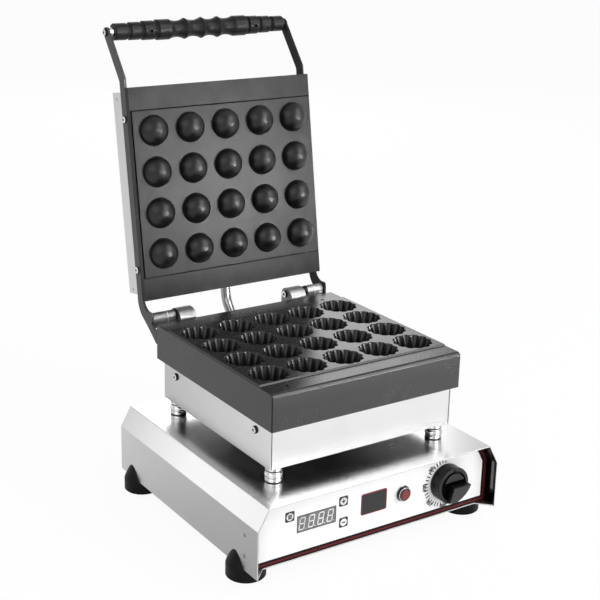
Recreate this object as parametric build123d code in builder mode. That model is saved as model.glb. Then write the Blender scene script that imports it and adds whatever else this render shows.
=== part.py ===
from build123d import *
import os
from math import asin, atan2, cos, degrees, hypot, pi, radians, sin, tan

os.makedirs("parts", exist_ok=True)

# Tartlet shell maker, lid open, in millimetres.
# X runs to the right, Y to the back and Z up. The origin is on the table, under
# the middle of the whole machine, and the base casing sits forward of it.
base_y = -49.5

# Base casing, a folded sheet
casing_width = 320.0
casing_depth = 305.8
casing_top_width = 294.4
casing_bottom = 16.7
casing_bend = 71.0
casing_top = 94.1
sheet = 1.2
bend_radius = 1.6
side_turn = atan2((casing_width - casing_top_width) / 2, casing_top - casing_bend)
top_turn = pi / 2 - side_turn
casing_front = -casing_depth / 2
casing_back = casing_depth / 2
sheet_gap = 0.15

# Front panel, set back between the side sheets
overlay_front = -137.0
overlay_thickness = 0.6
overlay_bottom = 18.2
panel_front = overlay_front + overlay_thickness
panel_back = panel_front + sheet
flange_length = 16.0
display_x, display_z = -76.9, 56.6
display_width, display_height = 50.1, 19.7
key_size = 11.2
key_places = {"key_set": (-111.0, 68.5), "key_plus": (-42.8, 68.7), "key_minus": (-42.0, 43.8)}
key_travel = 0.5
lamp_x, lamp_z = 36.4, 58.2
dial_x, dial_z = 96.9, 57.4
rivet_y = -127.5
rivet_heights = (33.1, 56.9)

# Feet
foot_x = 146.6
foot_front, foot_back = -109.5, 124.6
foot_radius = 21.6
foot_height = 40.0
foot_screw_radius = 2.5

# Standoffs and lower box
standoff_x = 107.8
standoff_front, standoff_back = -99.8, 106.4
standoff_top = 112.4
stud_radius = 3.0
box_half = 119.65
box_front, box_back = -111.6, 118.2
box_sheet = 1.0
box_top = 163.0
box_screw_y = (-81.0, 90.6)
box_screw_z = 147.0

# Lower casting
plate_half = 124.2
plate_front, plate_back = -119.8, 129.0
plate_bottom, ledge_top, field_top = 158.5, 199.7, 201.5
ledge = 26.2
field_rise = field_top - ledge_top
pocket_top = 176.0
wall_top = 163.2
cup_pitch = 48.1
cups_y = 3.4
flutes = 12
cup_crest, cup_root = 22.4, 20.1
cup_depth = 17.0
cup_taper = 0.76
cup_bevel = 0.7

# Heating elements
element_radius = 4.2
element_reach = 88.0
element_bend = 20.0

# Lid, drawn by its closed place and turned open about the hinge
hinge_y, hinge_z = 149.6, 200.3
lid_closed_z = 203.5
open_angle = radians(99.08)
lean = open_angle - pi / 2
lid_flange = 8.0
lid_body = 20.0
lid_body_half = 116.8
lid_cover_half = 119.6
lid_cover_low, lid_cover_high = 4.1, 243.5
lid_cover_back = 49.5
lid_length = plate_back - plate_front
dome_radius = 18.1
dome_height = 16.0
closed_dy = plate_back - hinge_y
closed_dz = lid_closed_z - hinge_z
lid_y = hinge_y + closed_dy * cos(open_angle) + closed_dz * sin(open_angle)
lid_z = hinge_z - closed_dy * sin(open_angle) + closed_dz * cos(open_angle)

# Hinge; the lengths outside the brackets differ from left (-1) to right (1)
bracket_in, bracket_out = 68.0, 89.0
bracket_rear = hinge_y + 8.6
bracket_top = hinge_z + 7.6
bush_out = {-1: 90.4, 1: 98.2}
bush_radius = {-1: 7.2, 1: 5.9}
spacer_out = {-1: 100.8, 1: 108.5}
hub_in = {-1: 101.0, 1: 108.7}
hub_out = 121.0
hub_radius = 6.2
hub_drop = 10.6
pin_radius = 4.0
pin_fit = 0.05
bracket_bottom = 164.0
bracket_screw_z = 176.0
bracket_screw_x = (73.6, 83.4)
stop_gap = 0.2

# Arms and handle
arm_in = 121.0
arm_sheet = 3.0
arm_out = arm_in + arm_sheet
arm_half = 6.0
arm_q = 14.1
bend_s = 258.0
grip_q, grip_s = 45.1, 313.4
arm_screw_s = (36.0, 212.5)
rod_radius = 4.0
grip_left, grip_right = -114.5, 119.0

# Conduit between the lid and the casing
conduit_radius = 6.1
conduit_q = 27.3
conduit_start_s = -3.4
conduit_foot_y = 141.5


# A level plane, placed from the middle of the base
def level(z, x=0.0, y=0.0):
    return Plane(origin=(x, base_y + y, z), x_dir=(1, 0, 0), z_dir=(0, 0, 1))


# An upright plane that faces the user, local x to the right and local y up
def upright(y, x=0.0, z=0.0):
    return Plane(origin=(x, base_y + y, z), x_dir=(1, 0, 0), z_dir=(0, -1, 0))


# An upright plane that faces the back, local x to the left and local y up
def rearward(y, x=0.0, z=0.0):
    return Plane(origin=(x, base_y + y, z), x_dir=(-1, 0, 0), z_dir=(0, 1, 0))


# An upright plane that faces right, local x to the back and local y up
def side_on(x, y=0.0, z=0.0):
    return Plane(origin=(x, base_y + y, z), x_dir=(0, 1, 0), z_dir=(1, 0, 0))


# Which side of the middle a place is on, right or left
def side_of(x):
    return 1 if x > 0 else -1


# An upright plane on one side of the machine, facing out of it
def outward(x, y, z):
    return Plane(origin=(x, base_y + y, z), x_dir=(0, side_of(x), 0), z_dir=(side_of(x), 0, 0))


# A point of the lid: s along its plate from the hinge edge, q behind its face
def lid_point(x, q, s):
    y = lid_y + s * sin(lean) + q * cos(lean)
    z = lid_z + s * cos(lean) - q * sin(lean)
    return (x, base_y + y, z)


# A plane along the lid's plate that faces the cups, local y away from the hinge
def lid_face(q=0.0, x=0.0, s=0.0):
    return Plane(origin=lid_point(x, q, s), x_dir=(1, 0, 0), z_dir=(0, -cos(lean), sin(lean)))


# A plane across the lid that faces right, local x along q and local y along s
def lid_side(x, q=0.0, s=0.0):
    return Plane(origin=lid_point(x, q, s), x_dir=(0, cos(lean), -sin(lean)), z_dir=(1, 0, 0))


# A plane on one side of the lid, facing out of it
def lid_outward(x, q, s):
    turn = side_of(x)
    return Plane(origin=lid_point(x, q, s), x_dir=(0, turn * cos(lean), -turn * sin(lean)), z_dir=(turn, 0, 0))


# A plane square to the lid's plate that faces the hinge
def lid_down(s, q=0.0, x=0.0):
    return Plane(origin=lid_point(x, q, s), x_dir=(1, 0, 0), z_dir=(0, -sin(lean), -cos(lean)))


# The arc of a round cap on the Z axis, from its rim to its top
def cap_arc(rim_radius, rim_height, top_height):
    rise = top_height - rim_height
    ball = (rim_radius**2 + rise**2) / (2 * rise)
    half_angle = asin(rim_radius / ball) / 2
    middle = (ball * sin(half_angle), top_height - ball + ball * cos(half_angle))
    return ThreePointArc((rim_radius, rim_height), middle, (0, top_height))


# The casing's cross-section, drawn within its outer skin
def casing_section(inset, bottom):
    side = casing_width / 2 - inset
    bend = casing_bend - inset * tan(side_turn / 2)
    shoulder = casing_top_width / 2 - inset * tan(top_turn / 2)
    top = casing_top - inset
    with BuildSketch() as section:
        with BuildLine():
            Polyline(
                (-side, bottom),
                (-side, bend),
                (-shoulder, top),
                (shoulder, top),
                (side, bend),
                (side, bottom),
                close=True,
            )
        make_face()
    return section.sketch


# A button-head screw, its head on the plane and its shank below
def button_screw(head_radius, head_height, shank_radius, shank_length, socket):
    with BuildPart() as screw:
        with BuildSketch():
            Circle(head_radius)
        extrude(amount=head_height)
        fillet(screw.edges().group_by(Axis.Z)[-1], head_height * 0.7)
        with BuildSketch():
            Circle(shank_radius)
        extrude(amount=-shank_length)
        with BuildSketch(Plane.XY.offset(head_height)):
            RegularPolygon(socket / 2, 6, major_radius=False)
        extrude(amount=-head_height * 0.6, mode=Mode.SUBTRACT)
    return screw.part


# A domed rivet, its head on the plane and its shank below
def rivet(head_radius, head_height, shank_radius, shank_length):
    with BuildPart() as pin:
        with BuildSketch(Plane.XZ):
            with BuildLine():
                Line((0, -shank_length), (shank_radius, -shank_length))
                Line((shank_radius, -shank_length), (shank_radius, 0))
                Line((shank_radius, 0), (head_radius, 0))
                cap_arc(head_radius, 0, head_height)
                Line((0, head_height), (0, -shank_length))
            make_face()
        revolve(axis=Axis.Z)
    return pin.part


# A scalloped outline whose cusps point inwards
def fluted_outline(crest, root):
    step = 2 * pi / flutes
    with BuildSketch() as outline:
        with BuildLine():
            for n in range(flutes):
                start, middle, end = n * step, (n + 0.5) * step, (n + 1) * step
                ThreePointArc(
                    (root * cos(start), root * sin(start)),
                    (crest * cos(middle), crest * sin(middle)),
                    (root * cos(end), root * sin(end)),
                )
        make_face()
    return outline.sketch


# The winding path of a tubular element: four legs under the rows of cups
def element_path(middle, pitch, reach):
    rows = [middle + (n - 1.5) * pitch for n in range(4)]
    corners = []
    for n, row in enumerate(rows):
        side = 1 if n % 2 == 0 else -1
        corners += [(-side * reach, row), (side * reach, row)]
    return corners


# Base casing: top, two chamfers and two sides folded from one sheet
with BuildPart() as base_casing:
    with BuildSketch(upright(casing_front)):
        add(casing_section(0, casing_bottom))
        fillet(vertices().group_by(Axis.Y)[1:], bend_radius)
        add(casing_section(sheet, casing_bottom - 1), mode=Mode.SUBTRACT)
    extrude(amount=-casing_depth)
    with BuildSketch(level(casing_top)):
        with Locations(
            (standoff_x, standoff_front),
            (-standoff_x, standoff_front),
            (standoff_x, standoff_back),
            (-standoff_x, standoff_back),
        ):
            Circle(stud_radius + 0.2)
        with Locations((0, conduit_foot_y)):
            Circle(conduit_radius + 2)
    extrude(amount=-10, mode=Mode.SUBTRACT)
    with BuildSketch(side_on(-casing_width)):
        with Locations(*[(rivet_y, z) for z in rivet_heights]):
            Circle(1.65)
    extrude(amount=2 * casing_width, mode=Mode.SUBTRACT)
base_casing.part.label = "base_casing"
export_step(base_casing.part, "parts/base_casing.step")

# Front panel with its side flanges, behind the overlay
panel_inset = sheet + sheet_gap
with BuildPart() as front_panel:
    with BuildSketch(upright(panel_front)):
        add(casing_section(panel_inset, overlay_bottom))
        with Locations((display_x, display_z)):
            Rectangle(display_width, display_height, mode=Mode.SUBTRACT)
        for key_x, key_z in key_places.values():
            with Locations((key_x, key_z)):
                RectangleRounded(key_size + 0.5, key_size + 0.5, 1.8, mode=Mode.SUBTRACT)
        with Locations((lamp_x, lamp_z)):
            Circle(6.2, mode=Mode.SUBTRACT)
        with Locations((dial_x, dial_z)):
            Circle(5.2, mode=Mode.SUBTRACT)
    extrude(amount=-sheet)
    with BuildSketch(level(overlay_bottom)):
        flange_x = casing_width / 2 - panel_inset - sheet / 2
        with Locations((-flange_x, panel_back + flange_length / 2), (flange_x, panel_back + flange_length / 2)):
            Rectangle(sheet, flange_length)
    extrude(amount=casing_bend - 4 - overlay_bottom)
    with BuildSketch(side_on(-casing_width)):
        with Locations(*[(rivet_y, z) for z in rivet_heights]):
            Circle(1.65)
    extrude(amount=2 * casing_width, mode=Mode.SUBTRACT)
front_panel.part.label = "front_panel"
export_step(front_panel.part, "parts/front_panel.step")

# Printed overlay on the front panel
with BuildPart() as front_overlay:
    with BuildSketch(upright(overlay_front)):
        add(casing_section(panel_inset, overlay_bottom))
        with Locations((display_x, display_z)):
            Rectangle(display_width, display_height, mode=Mode.SUBTRACT)
        for key_x, key_z in key_places.values():
            with Locations((key_x, key_z)):
                RectangleRounded(key_size + 0.5, key_size + 0.5, 1.8, mode=Mode.SUBTRACT)
        with Locations((lamp_x, lamp_z)):
            Circle(6.2, mode=Mode.SUBTRACT)
        with Locations((dial_x, dial_z)):
            Circle(5.2, mode=Mode.SUBTRACT)
    extrude(amount=-overlay_thickness)
front_overlay.part.label = "front_overlay"
export_step(front_overlay.part, "parts/front_overlay.step")

# Rear panel, flush with the casing, with louvres and the gland's hole
gland_x, gland_z = -110.0, 45.0
rear_face = casing_back - 1.5
with BuildPart() as rear_panel:
    with BuildSketch(upright(rear_face)):
        add(casing_section(panel_inset, overlay_bottom))
        with GridLocations(0, 8, 1, 5):
            with Locations((30, 52)):
                SlotOverall(120, 3, mode=Mode.SUBTRACT)
        with Locations((gland_x, gland_z)):
            Circle(8.1, mode=Mode.SUBTRACT)
    extrude(amount=sheet)
rear_panel.part.label = "rear_panel"
export_step(rear_panel.part, "parts/rear_panel.step")

# Bottom plate between the side sheets, with mitred ears ahead of the panel
bottom_screw_x, bottom_screw_y = 100.0, 120.0
bottom_screw_places = [(x, y) for x in (-bottom_screw_x, bottom_screw_x) for y in (-bottom_screw_y - 10, bottom_screw_y)]
foot_places = {
    "foot_front_left": (-foot_x, foot_front),
    "foot_front_right": (foot_x, foot_front),
    "foot_back_left": (-foot_x, foot_back),
    "foot_back_right": (foot_x, foot_back),
}
with BuildPart() as bottom_plate:
    with BuildSketch(level(casing_bottom)):
        with BuildLine():
            half = casing_width / 2 - panel_inset
            ear_front = casing_front + 0.4
            ear_in = half - (overlay_front - ear_front)
            Polyline(
                (-half, ear_front),
                (-ear_in, overlay_front),
                (ear_in, overlay_front),
                (half, ear_front),
                (half, rear_face),
                (-half, rear_face),
                close=True,
            )
        make_face()
        with Locations(*foot_places.values()):
            Circle(foot_screw_radius + 0.2, mode=Mode.SUBTRACT)
        with Locations(*bottom_screw_places):
            Circle(2.2, mode=Mode.SUBTRACT)
        with GridLocations(60, 9, 3, 9):
            SlotOverall(44, 4, mode=Mode.SUBTRACT)
    extrude(amount=sheet)
bottom_plate.part.label = "bottom_plate"
export_step(bottom_plate.part, "parts/bottom_plate.step")

with BuildPart() as bottom_screws:
    with Locations(*[Plane(origin=(x, base_y + y, casing_bottom), z_dir=(0, 0, -1)) for x, y in bottom_screw_places]):
        add(button_screw(3.8, 2.2, 2.0, 8.0, 2.5))
bottom_screws.part.label = "bottom_screws"
export_step(bottom_screws.part, "parts/bottom_screws.step")

# Rubber feet: a lip stands up outside the side sheet, the rest is under the bottom plate
for name, (x, y) in foot_places.items():
    with BuildPart() as foot:
        with BuildSketch(Plane(origin=(x, base_y + y, 0), x_dir=(1, 0, 0), z_dir=(0, -1, 0))):
            with BuildLine():
                Polyline((0, 0), (foot_radius - 1, 0), (foot_radius, 1), (foot_radius, 14), (20.7, 16.7), (13.4, 32))
                cap_arc(13.4, 32, foot_height)
                Line((0, foot_height), (0, 0))
            make_face()
        revolve(axis=Axis((x, base_y + y, 0), (0, 0, 1)))
        turn = side_of(x)
        with BuildSketch(level(casing_bottom, x=0, y=y)):
            with Locations((turn * (casing_width / 2 + 0.05 - 40), 0)):
                Rectangle(80, 60)
        extrude(amount=foot_height, mode=Mode.SUBTRACT)
        with BuildSketch(level(0, x=x, y=y)):
            Circle(6)
        extrude(amount=8, mode=Mode.SUBTRACT)
        with BuildSketch(level(0, x=x, y=y)):
            Circle(foot_screw_radius + 0.1)
        extrude(amount=casing_bottom, mode=Mode.SUBTRACT)
    foot.part.label = name
    export_step(foot.part, f"parts/{name}.step")

with BuildPart() as foot_screws:
    with Locations(*[Plane(origin=(x, base_y + y, 8), z_dir=(0, 0, -1)) for x, y in foot_places.values()]):
        add(button_screw(4.8, 2.8, foot_screw_radius, 15.0, 3.0))
foot_screws.part.label = "foot_screws"
export_step(foot_screws.part, "parts/foot_screws.step")

# Rivets that hold the front panel's flanges to the side sheets
with BuildPart() as panel_rivets:
    rivet_x = casing_width / 2
    with Locations(*[outward(turn * rivet_x, rivet_y, z) for turn in (-1, 1) for z in rivet_heights]):
        add(rivet(2.2, 0.7, 1.6, 2 * sheet + sheet_gap))
panel_rivets.part.label = "panel_rivets"
export_step(panel_rivets.part, "parts/panel_rivets.step")

# Display module behind its window
with BuildPart() as display_module:
    with BuildSketch(upright(overlay_front + 0.1)):
        with Locations((display_x, display_z)):
            Rectangle(display_width - 0.3, display_height - 0.3)
    extrude(amount=-9)
display_module.part.label = "display_module"
export_step(display_module.part, "parts/display_module.step")

# Timer board with its three push switches, hung on posts behind the panel
board_front = overlay_front + 14.0
key_length = 3.2
with BuildPart() as timer_board:
    with BuildSketch(upright(board_front)):
        with Locations((display_x, display_z)):
            Rectangle(98, 52)
    extrude(amount=-1.6)
    with BuildSketch(upright(board_front)):
        with Locations((display_x, display_z)):
            Rectangle(46, 16)
    extrude(amount=board_front - overlay_front - 9.2)
    with BuildSketch(upright(board_front)):
        for key_x, key_z in key_places.values():
            with Locations((key_x, key_z)):
                Rectangle(6, 6)
    extrude(amount=board_front - overlay_front - key_length - key_travel - 0.1)
    with BuildSketch(upright(board_front)):
        with Locations((display_x, display_z)):
            with GridLocations(90, 44, 2, 2):
                Circle(2.5)
    extrude(amount=board_front - panel_back)
timer_board.part.label = "timer_board"
export_step(timer_board.part, "parts/timer_board.step")

# Push keys, a little proud of the overlay
for name, (x, z) in key_places.items():
    with BuildPart() as key:
        with BuildSketch(upright(overlay_front - 0.3)):
            with Locations((x, z)):
                RectangleRounded(key_size, key_size, 1.6)
        extrude(amount=-key_length - 0.3)
        fillet(key.edges().group_by(Axis.Y)[0], 0.2)
        with BuildSketch(upright(panel_back + 0.05)):
            with Locations((x, z)):
                RectangleRounded(key_size + 2, key_size + 2, 1.6)
        extrude(amount=-(overlay_front + key_length - panel_back - 0.05))
    key.part.label = name
    export_step(key.part, f"parts/{name}.step")

# Indicator lamp: chromed bezel in steps and a flat lens with a raised middle
with BuildPart() as lamp_bezel:
    with BuildSketch(Plane(origin=(lamp_x, base_y + overlay_front, lamp_z), x_dir=(1, 0, 0), z_dir=(0, 0, 1))):
        with BuildLine():
            Polyline(
                (7.25, 0),
                (9.2, 0),
                (9.2, -1.5),
                (8.7, -2.0),
                (8.7, -3.2),
                (8.3, -3.7),
                (8.3, -5.0),
                (7.9, -5.5),
                (7.25, -5.5),
                close=True,
            )
        make_face()
    revolve(axis=Axis((lamp_x, base_y, lamp_z), (0, 1, 0)))
    with BuildSketch(upright(overlay_front, x=lamp_x, z=lamp_z)):
        Circle(7.4)
        Circle(5.0, mode=Mode.SUBTRACT)
    extrude(amount=0.8)
    with BuildSketch(upright(overlay_front, x=lamp_x, z=lamp_z)):
        Circle(6.0)
        Circle(5.0, mode=Mode.SUBTRACT)
    extrude(amount=-16)
    with BuildSketch(upright(panel_back, x=lamp_x, z=lamp_z)):
        RegularPolygon(8, 6, major_radius=False)
        Circle(5.5, mode=Mode.SUBTRACT)
    extrude(amount=-4)
lamp_bezel.part.label = "lamp_bezel"
export_step(lamp_bezel.part, "parts/lamp_bezel.step")

with BuildPart() as lamp_lens:
    with BuildSketch(Plane(origin=(lamp_x, base_y + overlay_front, lamp_z), x_dir=(1, 0, 0), z_dir=(0, 0, -1))):
        with BuildLine():
            Polyline(
                (0, 0.9),
                (7.15, 0.9),
                (7.15, 5.9),
                (6.7, 6.3),
                (5.7, 6.3),
                (5.2, 6.8),
                (0, 6.8),
                close=True,
            )
        make_face()
    revolve(axis=Axis((lamp_x, base_y, lamp_z), (0, 1, 0)))
    with BuildSketch(upright(overlay_front - 1, x=lamp_x, z=lamp_z)):
        Circle(4.9)
    extrude(amount=-14)
lamp_lens.part.label = "lamp_lens"
export_step(lamp_lens.part, "parts/lamp_lens.step")

# Thermostat: body behind the panel with a threaded nose, shaft and knob
with BuildPart() as thermostat_body:
    with BuildSketch(upright(panel_back + 0.2)):
        with Locations((dial_x, dial_z)):
            RectangleRounded(44, 34, 3)
    extrude(amount=-24)
    with BuildSketch(upright(panel_back + 0.2, x=dial_x, z=dial_z)):
        Circle(5.0)
    extrude(amount=2.1)
    with BuildSketch(upright(panel_back - 5, x=dial_x, z=dial_z)):
        Circle(3.0 + pin_fit)
    extrude(amount=-20, mode=Mode.SUBTRACT)
thermostat_body.part.label = "thermostat_body"
export_step(thermostat_body.part, "parts/thermostat_body.step")

with BuildPart() as thermostat_shaft:
    with BuildSketch(upright(overlay_front - 11, x=dial_x, z=dial_z)):
        Circle(3.0)
    extrude(amount=-24)
    with BuildSketch(upright(overlay_front - 11, x=dial_x, z=dial_z)):
        with Locations((0, 3.5)):
            Rectangle(8, 3)
    extrude(amount=-10.8, mode=Mode.SUBTRACT)
thermostat_shaft.part.label = "thermostat_shaft"
export_step(thermostat_shaft.part, "parts/thermostat_shaft.step")

knob_back = overlay_front - 0.6
knob_face = -152.5
knob_front = -163.8
knob_floor = knob_face + 3.6
rest_low = 5.7
wing_top = 3.2
with BuildPart() as thermostat_knob:
    with BuildSketch(Plane(origin=(dial_x, base_y, dial_z), x_dir=(1, 0, 0), z_dir=(0, 0, 1))):
        with BuildLine():
            Polyline((0, knob_back), (21.1, knob_back), (21.5, knob_back - 1.6), (21.4, knob_face + 1.2))
            ThreePointArc((21.4, knob_face + 1.2), (21.1, knob_face + 0.35), (20.3, knob_face))
            Polyline((20.3, knob_face), (17.2, knob_face), (16.6, knob_floor), (0, knob_floor), (0, knob_back))
        make_face()
    revolve(axis=Axis((dial_x, base_y, dial_z), (0, 1, 0)))
    # thumb rest above the grip, a facet that slopes back to the rim
    with BuildSketch(upright(knob_floor + 0.1, x=dial_x, z=dial_z)):
        Circle(14.6)
        with Locations((0, rest_low - 20)):
            Rectangle(40, 40, mode=Mode.SUBTRACT)
    extrude(amount=knob_floor + 0.1 - knob_face + 1.2)
    with BuildSketch(side_on(dial_x - 20, z=dial_z)):
        with BuildLine():
            Polyline(
                (knob_face - 1.2, rest_low),
                (knob_face - 0.05, 15),
                (knob_face - 4, 15),
                (knob_face - 4, rest_low),
                close=True,
            )
        make_face()
    extrude(amount=40, mode=Mode.SUBTRACT)
    fillet(thermostat_knob.edges().filter_by(Axis.X).sort_by(Axis.Y)[0], 0.5)
    # grip: a wing with a level top that stands out past the face and slopes back below
    with BuildSketch(upright(knob_floor + 0.1, x=dial_x, z=dial_z)):
        with BuildLine():
            Polyline((1.0, -18.8), (-8.5, -17.4), (-8.5, wing_top), (15.3, wing_top))
            ThreePointArc((15.3, wing_top), (11.8, -9.4), (1.0, -18.8))
        make_face()
    extrude(amount=knob_floor + 0.1 - knob_front)
    with BuildSketch(side_on(dial_x - 25, z=dial_z)):
        with BuildLine():
            Polyline(
                (knob_front, wing_top),
                (knob_front + 6.6, -19.5),
                (knob_front - 4, -19.5),
                (knob_front - 4, wing_top),
                close=True,
            )
        make_face()
    extrude(amount=50, mode=Mode.SUBTRACT)
    fillet(thermostat_knob.edges().filter_by(Axis.X).sort_by(Axis.Y)[0], 0.6)
    # pointer mark in the rim and the shaft's hole
    with BuildSketch(upright(knob_face, x=dial_x, z=dial_z)):
        with Locations((0, 18.6)):
            Circle(1.3)
    extrude(amount=-1.6, mode=Mode.SUBTRACT)
    with BuildSketch(upright(knob_back, x=dial_x, z=dial_z)):
        Circle(3.0 + 0.02)
        with Locations((0, 3.5)):
            Rectangle(8, 2.96, mode=Mode.SUBTRACT)
    extrude(amount=10.5, mode=Mode.SUBTRACT)
thermostat_knob.part.label = "thermostat_knob"
export_step(thermostat_knob.part, "parts/thermostat_knob.step")

# Terminal block and power relay on the bottom plate, cable gland at the back
deck = casing_bottom + sheet
with BuildPart() as terminal_block:
    with BuildSketch(level(deck)):
        with Locations((-100, 100)):
            Rectangle(60, 24)
    extrude(amount=18)
    with BuildSketch(level(deck + 18)):
        with Locations((-100, 100)):
            with GridLocations(11, 12, 5, 2):
                Circle(3)
    extrude(amount=-8, mode=Mode.SUBTRACT)
terminal_block.part.label = "terminal_block"
export_step(terminal_block.part, "parts/terminal_block.step")

with BuildPart() as power_relay:
    with BuildSketch(level(deck)):
        with Locations((0, 100)):
            Rectangle(46, 60)
    extrude(amount=4)
    with BuildSketch(level(deck + 4)):
        with Locations((0, 100)):
            Rectangle(42, 44)
    extrude(amount=30)
    fillet(power_relay.edges().group_by(Axis.Z)[-1], 2)
power_relay.part.label = "power_relay"
export_step(power_relay.part, "parts/power_relay.step")

with BuildPart() as cable_gland:
    with BuildSketch(rearward(rear_face, x=gland_x, z=gland_z)):
        RegularPolygon(11, 6, major_radius=False)
    extrude(amount=5)
    with BuildSketch(rearward(rear_face + 5, x=gland_x, z=gland_z)):
        Circle(9.6)
    extrude(amount=9)
    fillet(cable_gland.edges().group_by(Axis.Y)[-1], 2)
    with BuildSketch(rearward(rear_face, x=gland_x, z=gland_z)):
        Circle(8.0)
    extrude(amount=-12)
    with BuildSketch(rearward(rear_face - sheet, x=gland_x, z=gland_z)):
        RegularPolygon(10.5, 6, major_radius=False)
    extrude(amount=-5)
    with BuildSketch(rearward(rear_face + 30, x=gland_x, z=gland_z)):
        Circle(4.5)
    extrude(amount=-60, mode=Mode.SUBTRACT)
cable_gland.part.label = "cable_gland"
export_step(cable_gland.part, "parts/cable_gland.step")

# Turned standoffs between the casing and the lower box, with their studs
standoff_places = [(x, y) for x in (-standoff_x, standoff_x) for y in (standoff_front, standoff_back)]
with BuildPart() as one_standoff:
    with BuildSketch(Plane.XZ):
        with BuildLine():
            height = standoff_top - casing_top
            Polyline((3.3, 0), (9.5, 0), (9.5, 3.2), (8.6, 4.2))
            ThreePointArc((8.6, 4.2), (10.1, 7.6), (8.4, 11.0))
            Polyline((8.4, 11.0), (8.2, 12.6), (9.5, 13.6), (9.5, height), (3.3, height), (3.3, 0))
        make_face()
    revolve(axis=Axis.Z)
with BuildPart() as standoffs:
    with Locations(*[level(casing_top, x, y) for x, y in standoff_places]):
        add(one_standoff.part)
standoffs.part.label = "standoffs"
export_step(standoffs.part, "parts/standoffs.step")

with BuildPart() as standoff_screws:
    with Locations(*[level(standoff_top + box_sheet, x, y) for x, y in standoff_places]):
        add(button_screw(6.0, 3.4, stud_radius, 28.0, 4.0))
standoff_screws.part.label = "standoff_screws"
export_step(standoff_screws.part, "parts/standoff_screws.step")

# Lower box: a folded tray, open upwards
box_width = 2 * box_half
box_depth = box_back - box_front
box_middle = (box_front + box_back) / 2
wire_hole = (0.0, 60.0)
with BuildPart() as lower_box:
    with BuildSketch(level(standoff_top)):
        with Locations((0, box_middle)):
            Rectangle(box_width, box_depth)
    extrude(amount=box_top - standoff_top)
    with BuildSketch(level(standoff_top + box_sheet)):
        with Locations((0, box_middle)):
            Rectangle(box_width - 2 * box_sheet, box_depth - 2 * box_sheet)
    extrude(amount=box_top, mode=Mode.SUBTRACT)
    with BuildSketch(level(standoff_top)):
        with Locations(*standoff_places):
            Circle(stud_radius + 0.2)
        with Locations(wire_hole):
            Circle(8)
    extrude(amount=box_sheet, mode=Mode.SUBTRACT)
    with BuildSketch(side_on(-box_half)):
        with Locations(*[(y, box_screw_z) for y in box_screw_y]):
            Circle(2.6)
    extrude(amount=box_width, mode=Mode.SUBTRACT)
lower_box.part.label = "lower_box"
export_step(lower_box.part, "parts/lower_box.step")

# Clamp plate that presses the insulation and the element against the casting
clamp_half = box_half - box_sheet - 0.15
clamp_z = 141.0
with BuildPart() as element_clamp:
    with BuildSketch(upright(-100)):
        with BuildLine():
            Polyline(
                (-clamp_half, 153),
                (-clamp_half, clamp_z),
                (clamp_half, clamp_z),
                (clamp_half, 153),
                (clamp_half - 1.5, 153),
                (clamp_half - 1.5, clamp_z + 1.5),
                (-clamp_half + 1.5, clamp_z + 1.5),
                (-clamp_half + 1.5, 153),
                close=True,
            )
        make_face()
    extrude(amount=-210)
    with BuildSketch(side_on(-box_half)):
        with Locations(*[(y, box_screw_z) for y in box_screw_y]):
            Circle(2.55)
    extrude(amount=box_width, mode=Mode.SUBTRACT)
    with BuildSketch(level(clamp_z)):
        with GridLocations(2 * element_reach, 3 * cup_pitch, 2, 2):
            with Locations((0, cups_y)):
                Circle(8)
    extrude(amount=3, mode=Mode.SUBTRACT)
element_clamp.part.label = "element_clamp"
export_step(element_clamp.part, "parts/element_clamp.step")

with BuildPart() as box_screws:
    with Locations(*[outward(turn * box_half, y, box_screw_z) for turn in (-1, 1) for y in box_screw_y]):
        add(button_screw(4.4, 2.6, 2.5, 8.0, 3.0))
box_screws.part.label = "box_screws"
export_step(box_screws.part, "parts/box_screws.step")

# The space inside one cup, fluted and tapering, with a bevelled rim
with BuildPart() as cup_space:
    with BuildSketch(Plane.XY.offset(-cup_bevel)):
        add(fluted_outline(cup_crest, cup_root))
    with BuildSketch(Plane.XY.offset(-cup_depth)):
        add(fluted_outline(cup_crest * cup_taper, cup_root * cup_taper))
    loft(ruled=True)
    with BuildSketch(Plane.XY.offset(cup_bevel)):
        add(fluted_outline(cup_crest + cup_bevel, cup_root + cup_bevel))
    with BuildSketch(Plane.XY.offset(-cup_bevel)):
        add(fluted_outline(cup_crest, cup_root))
    loft(ruled=True)

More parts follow.
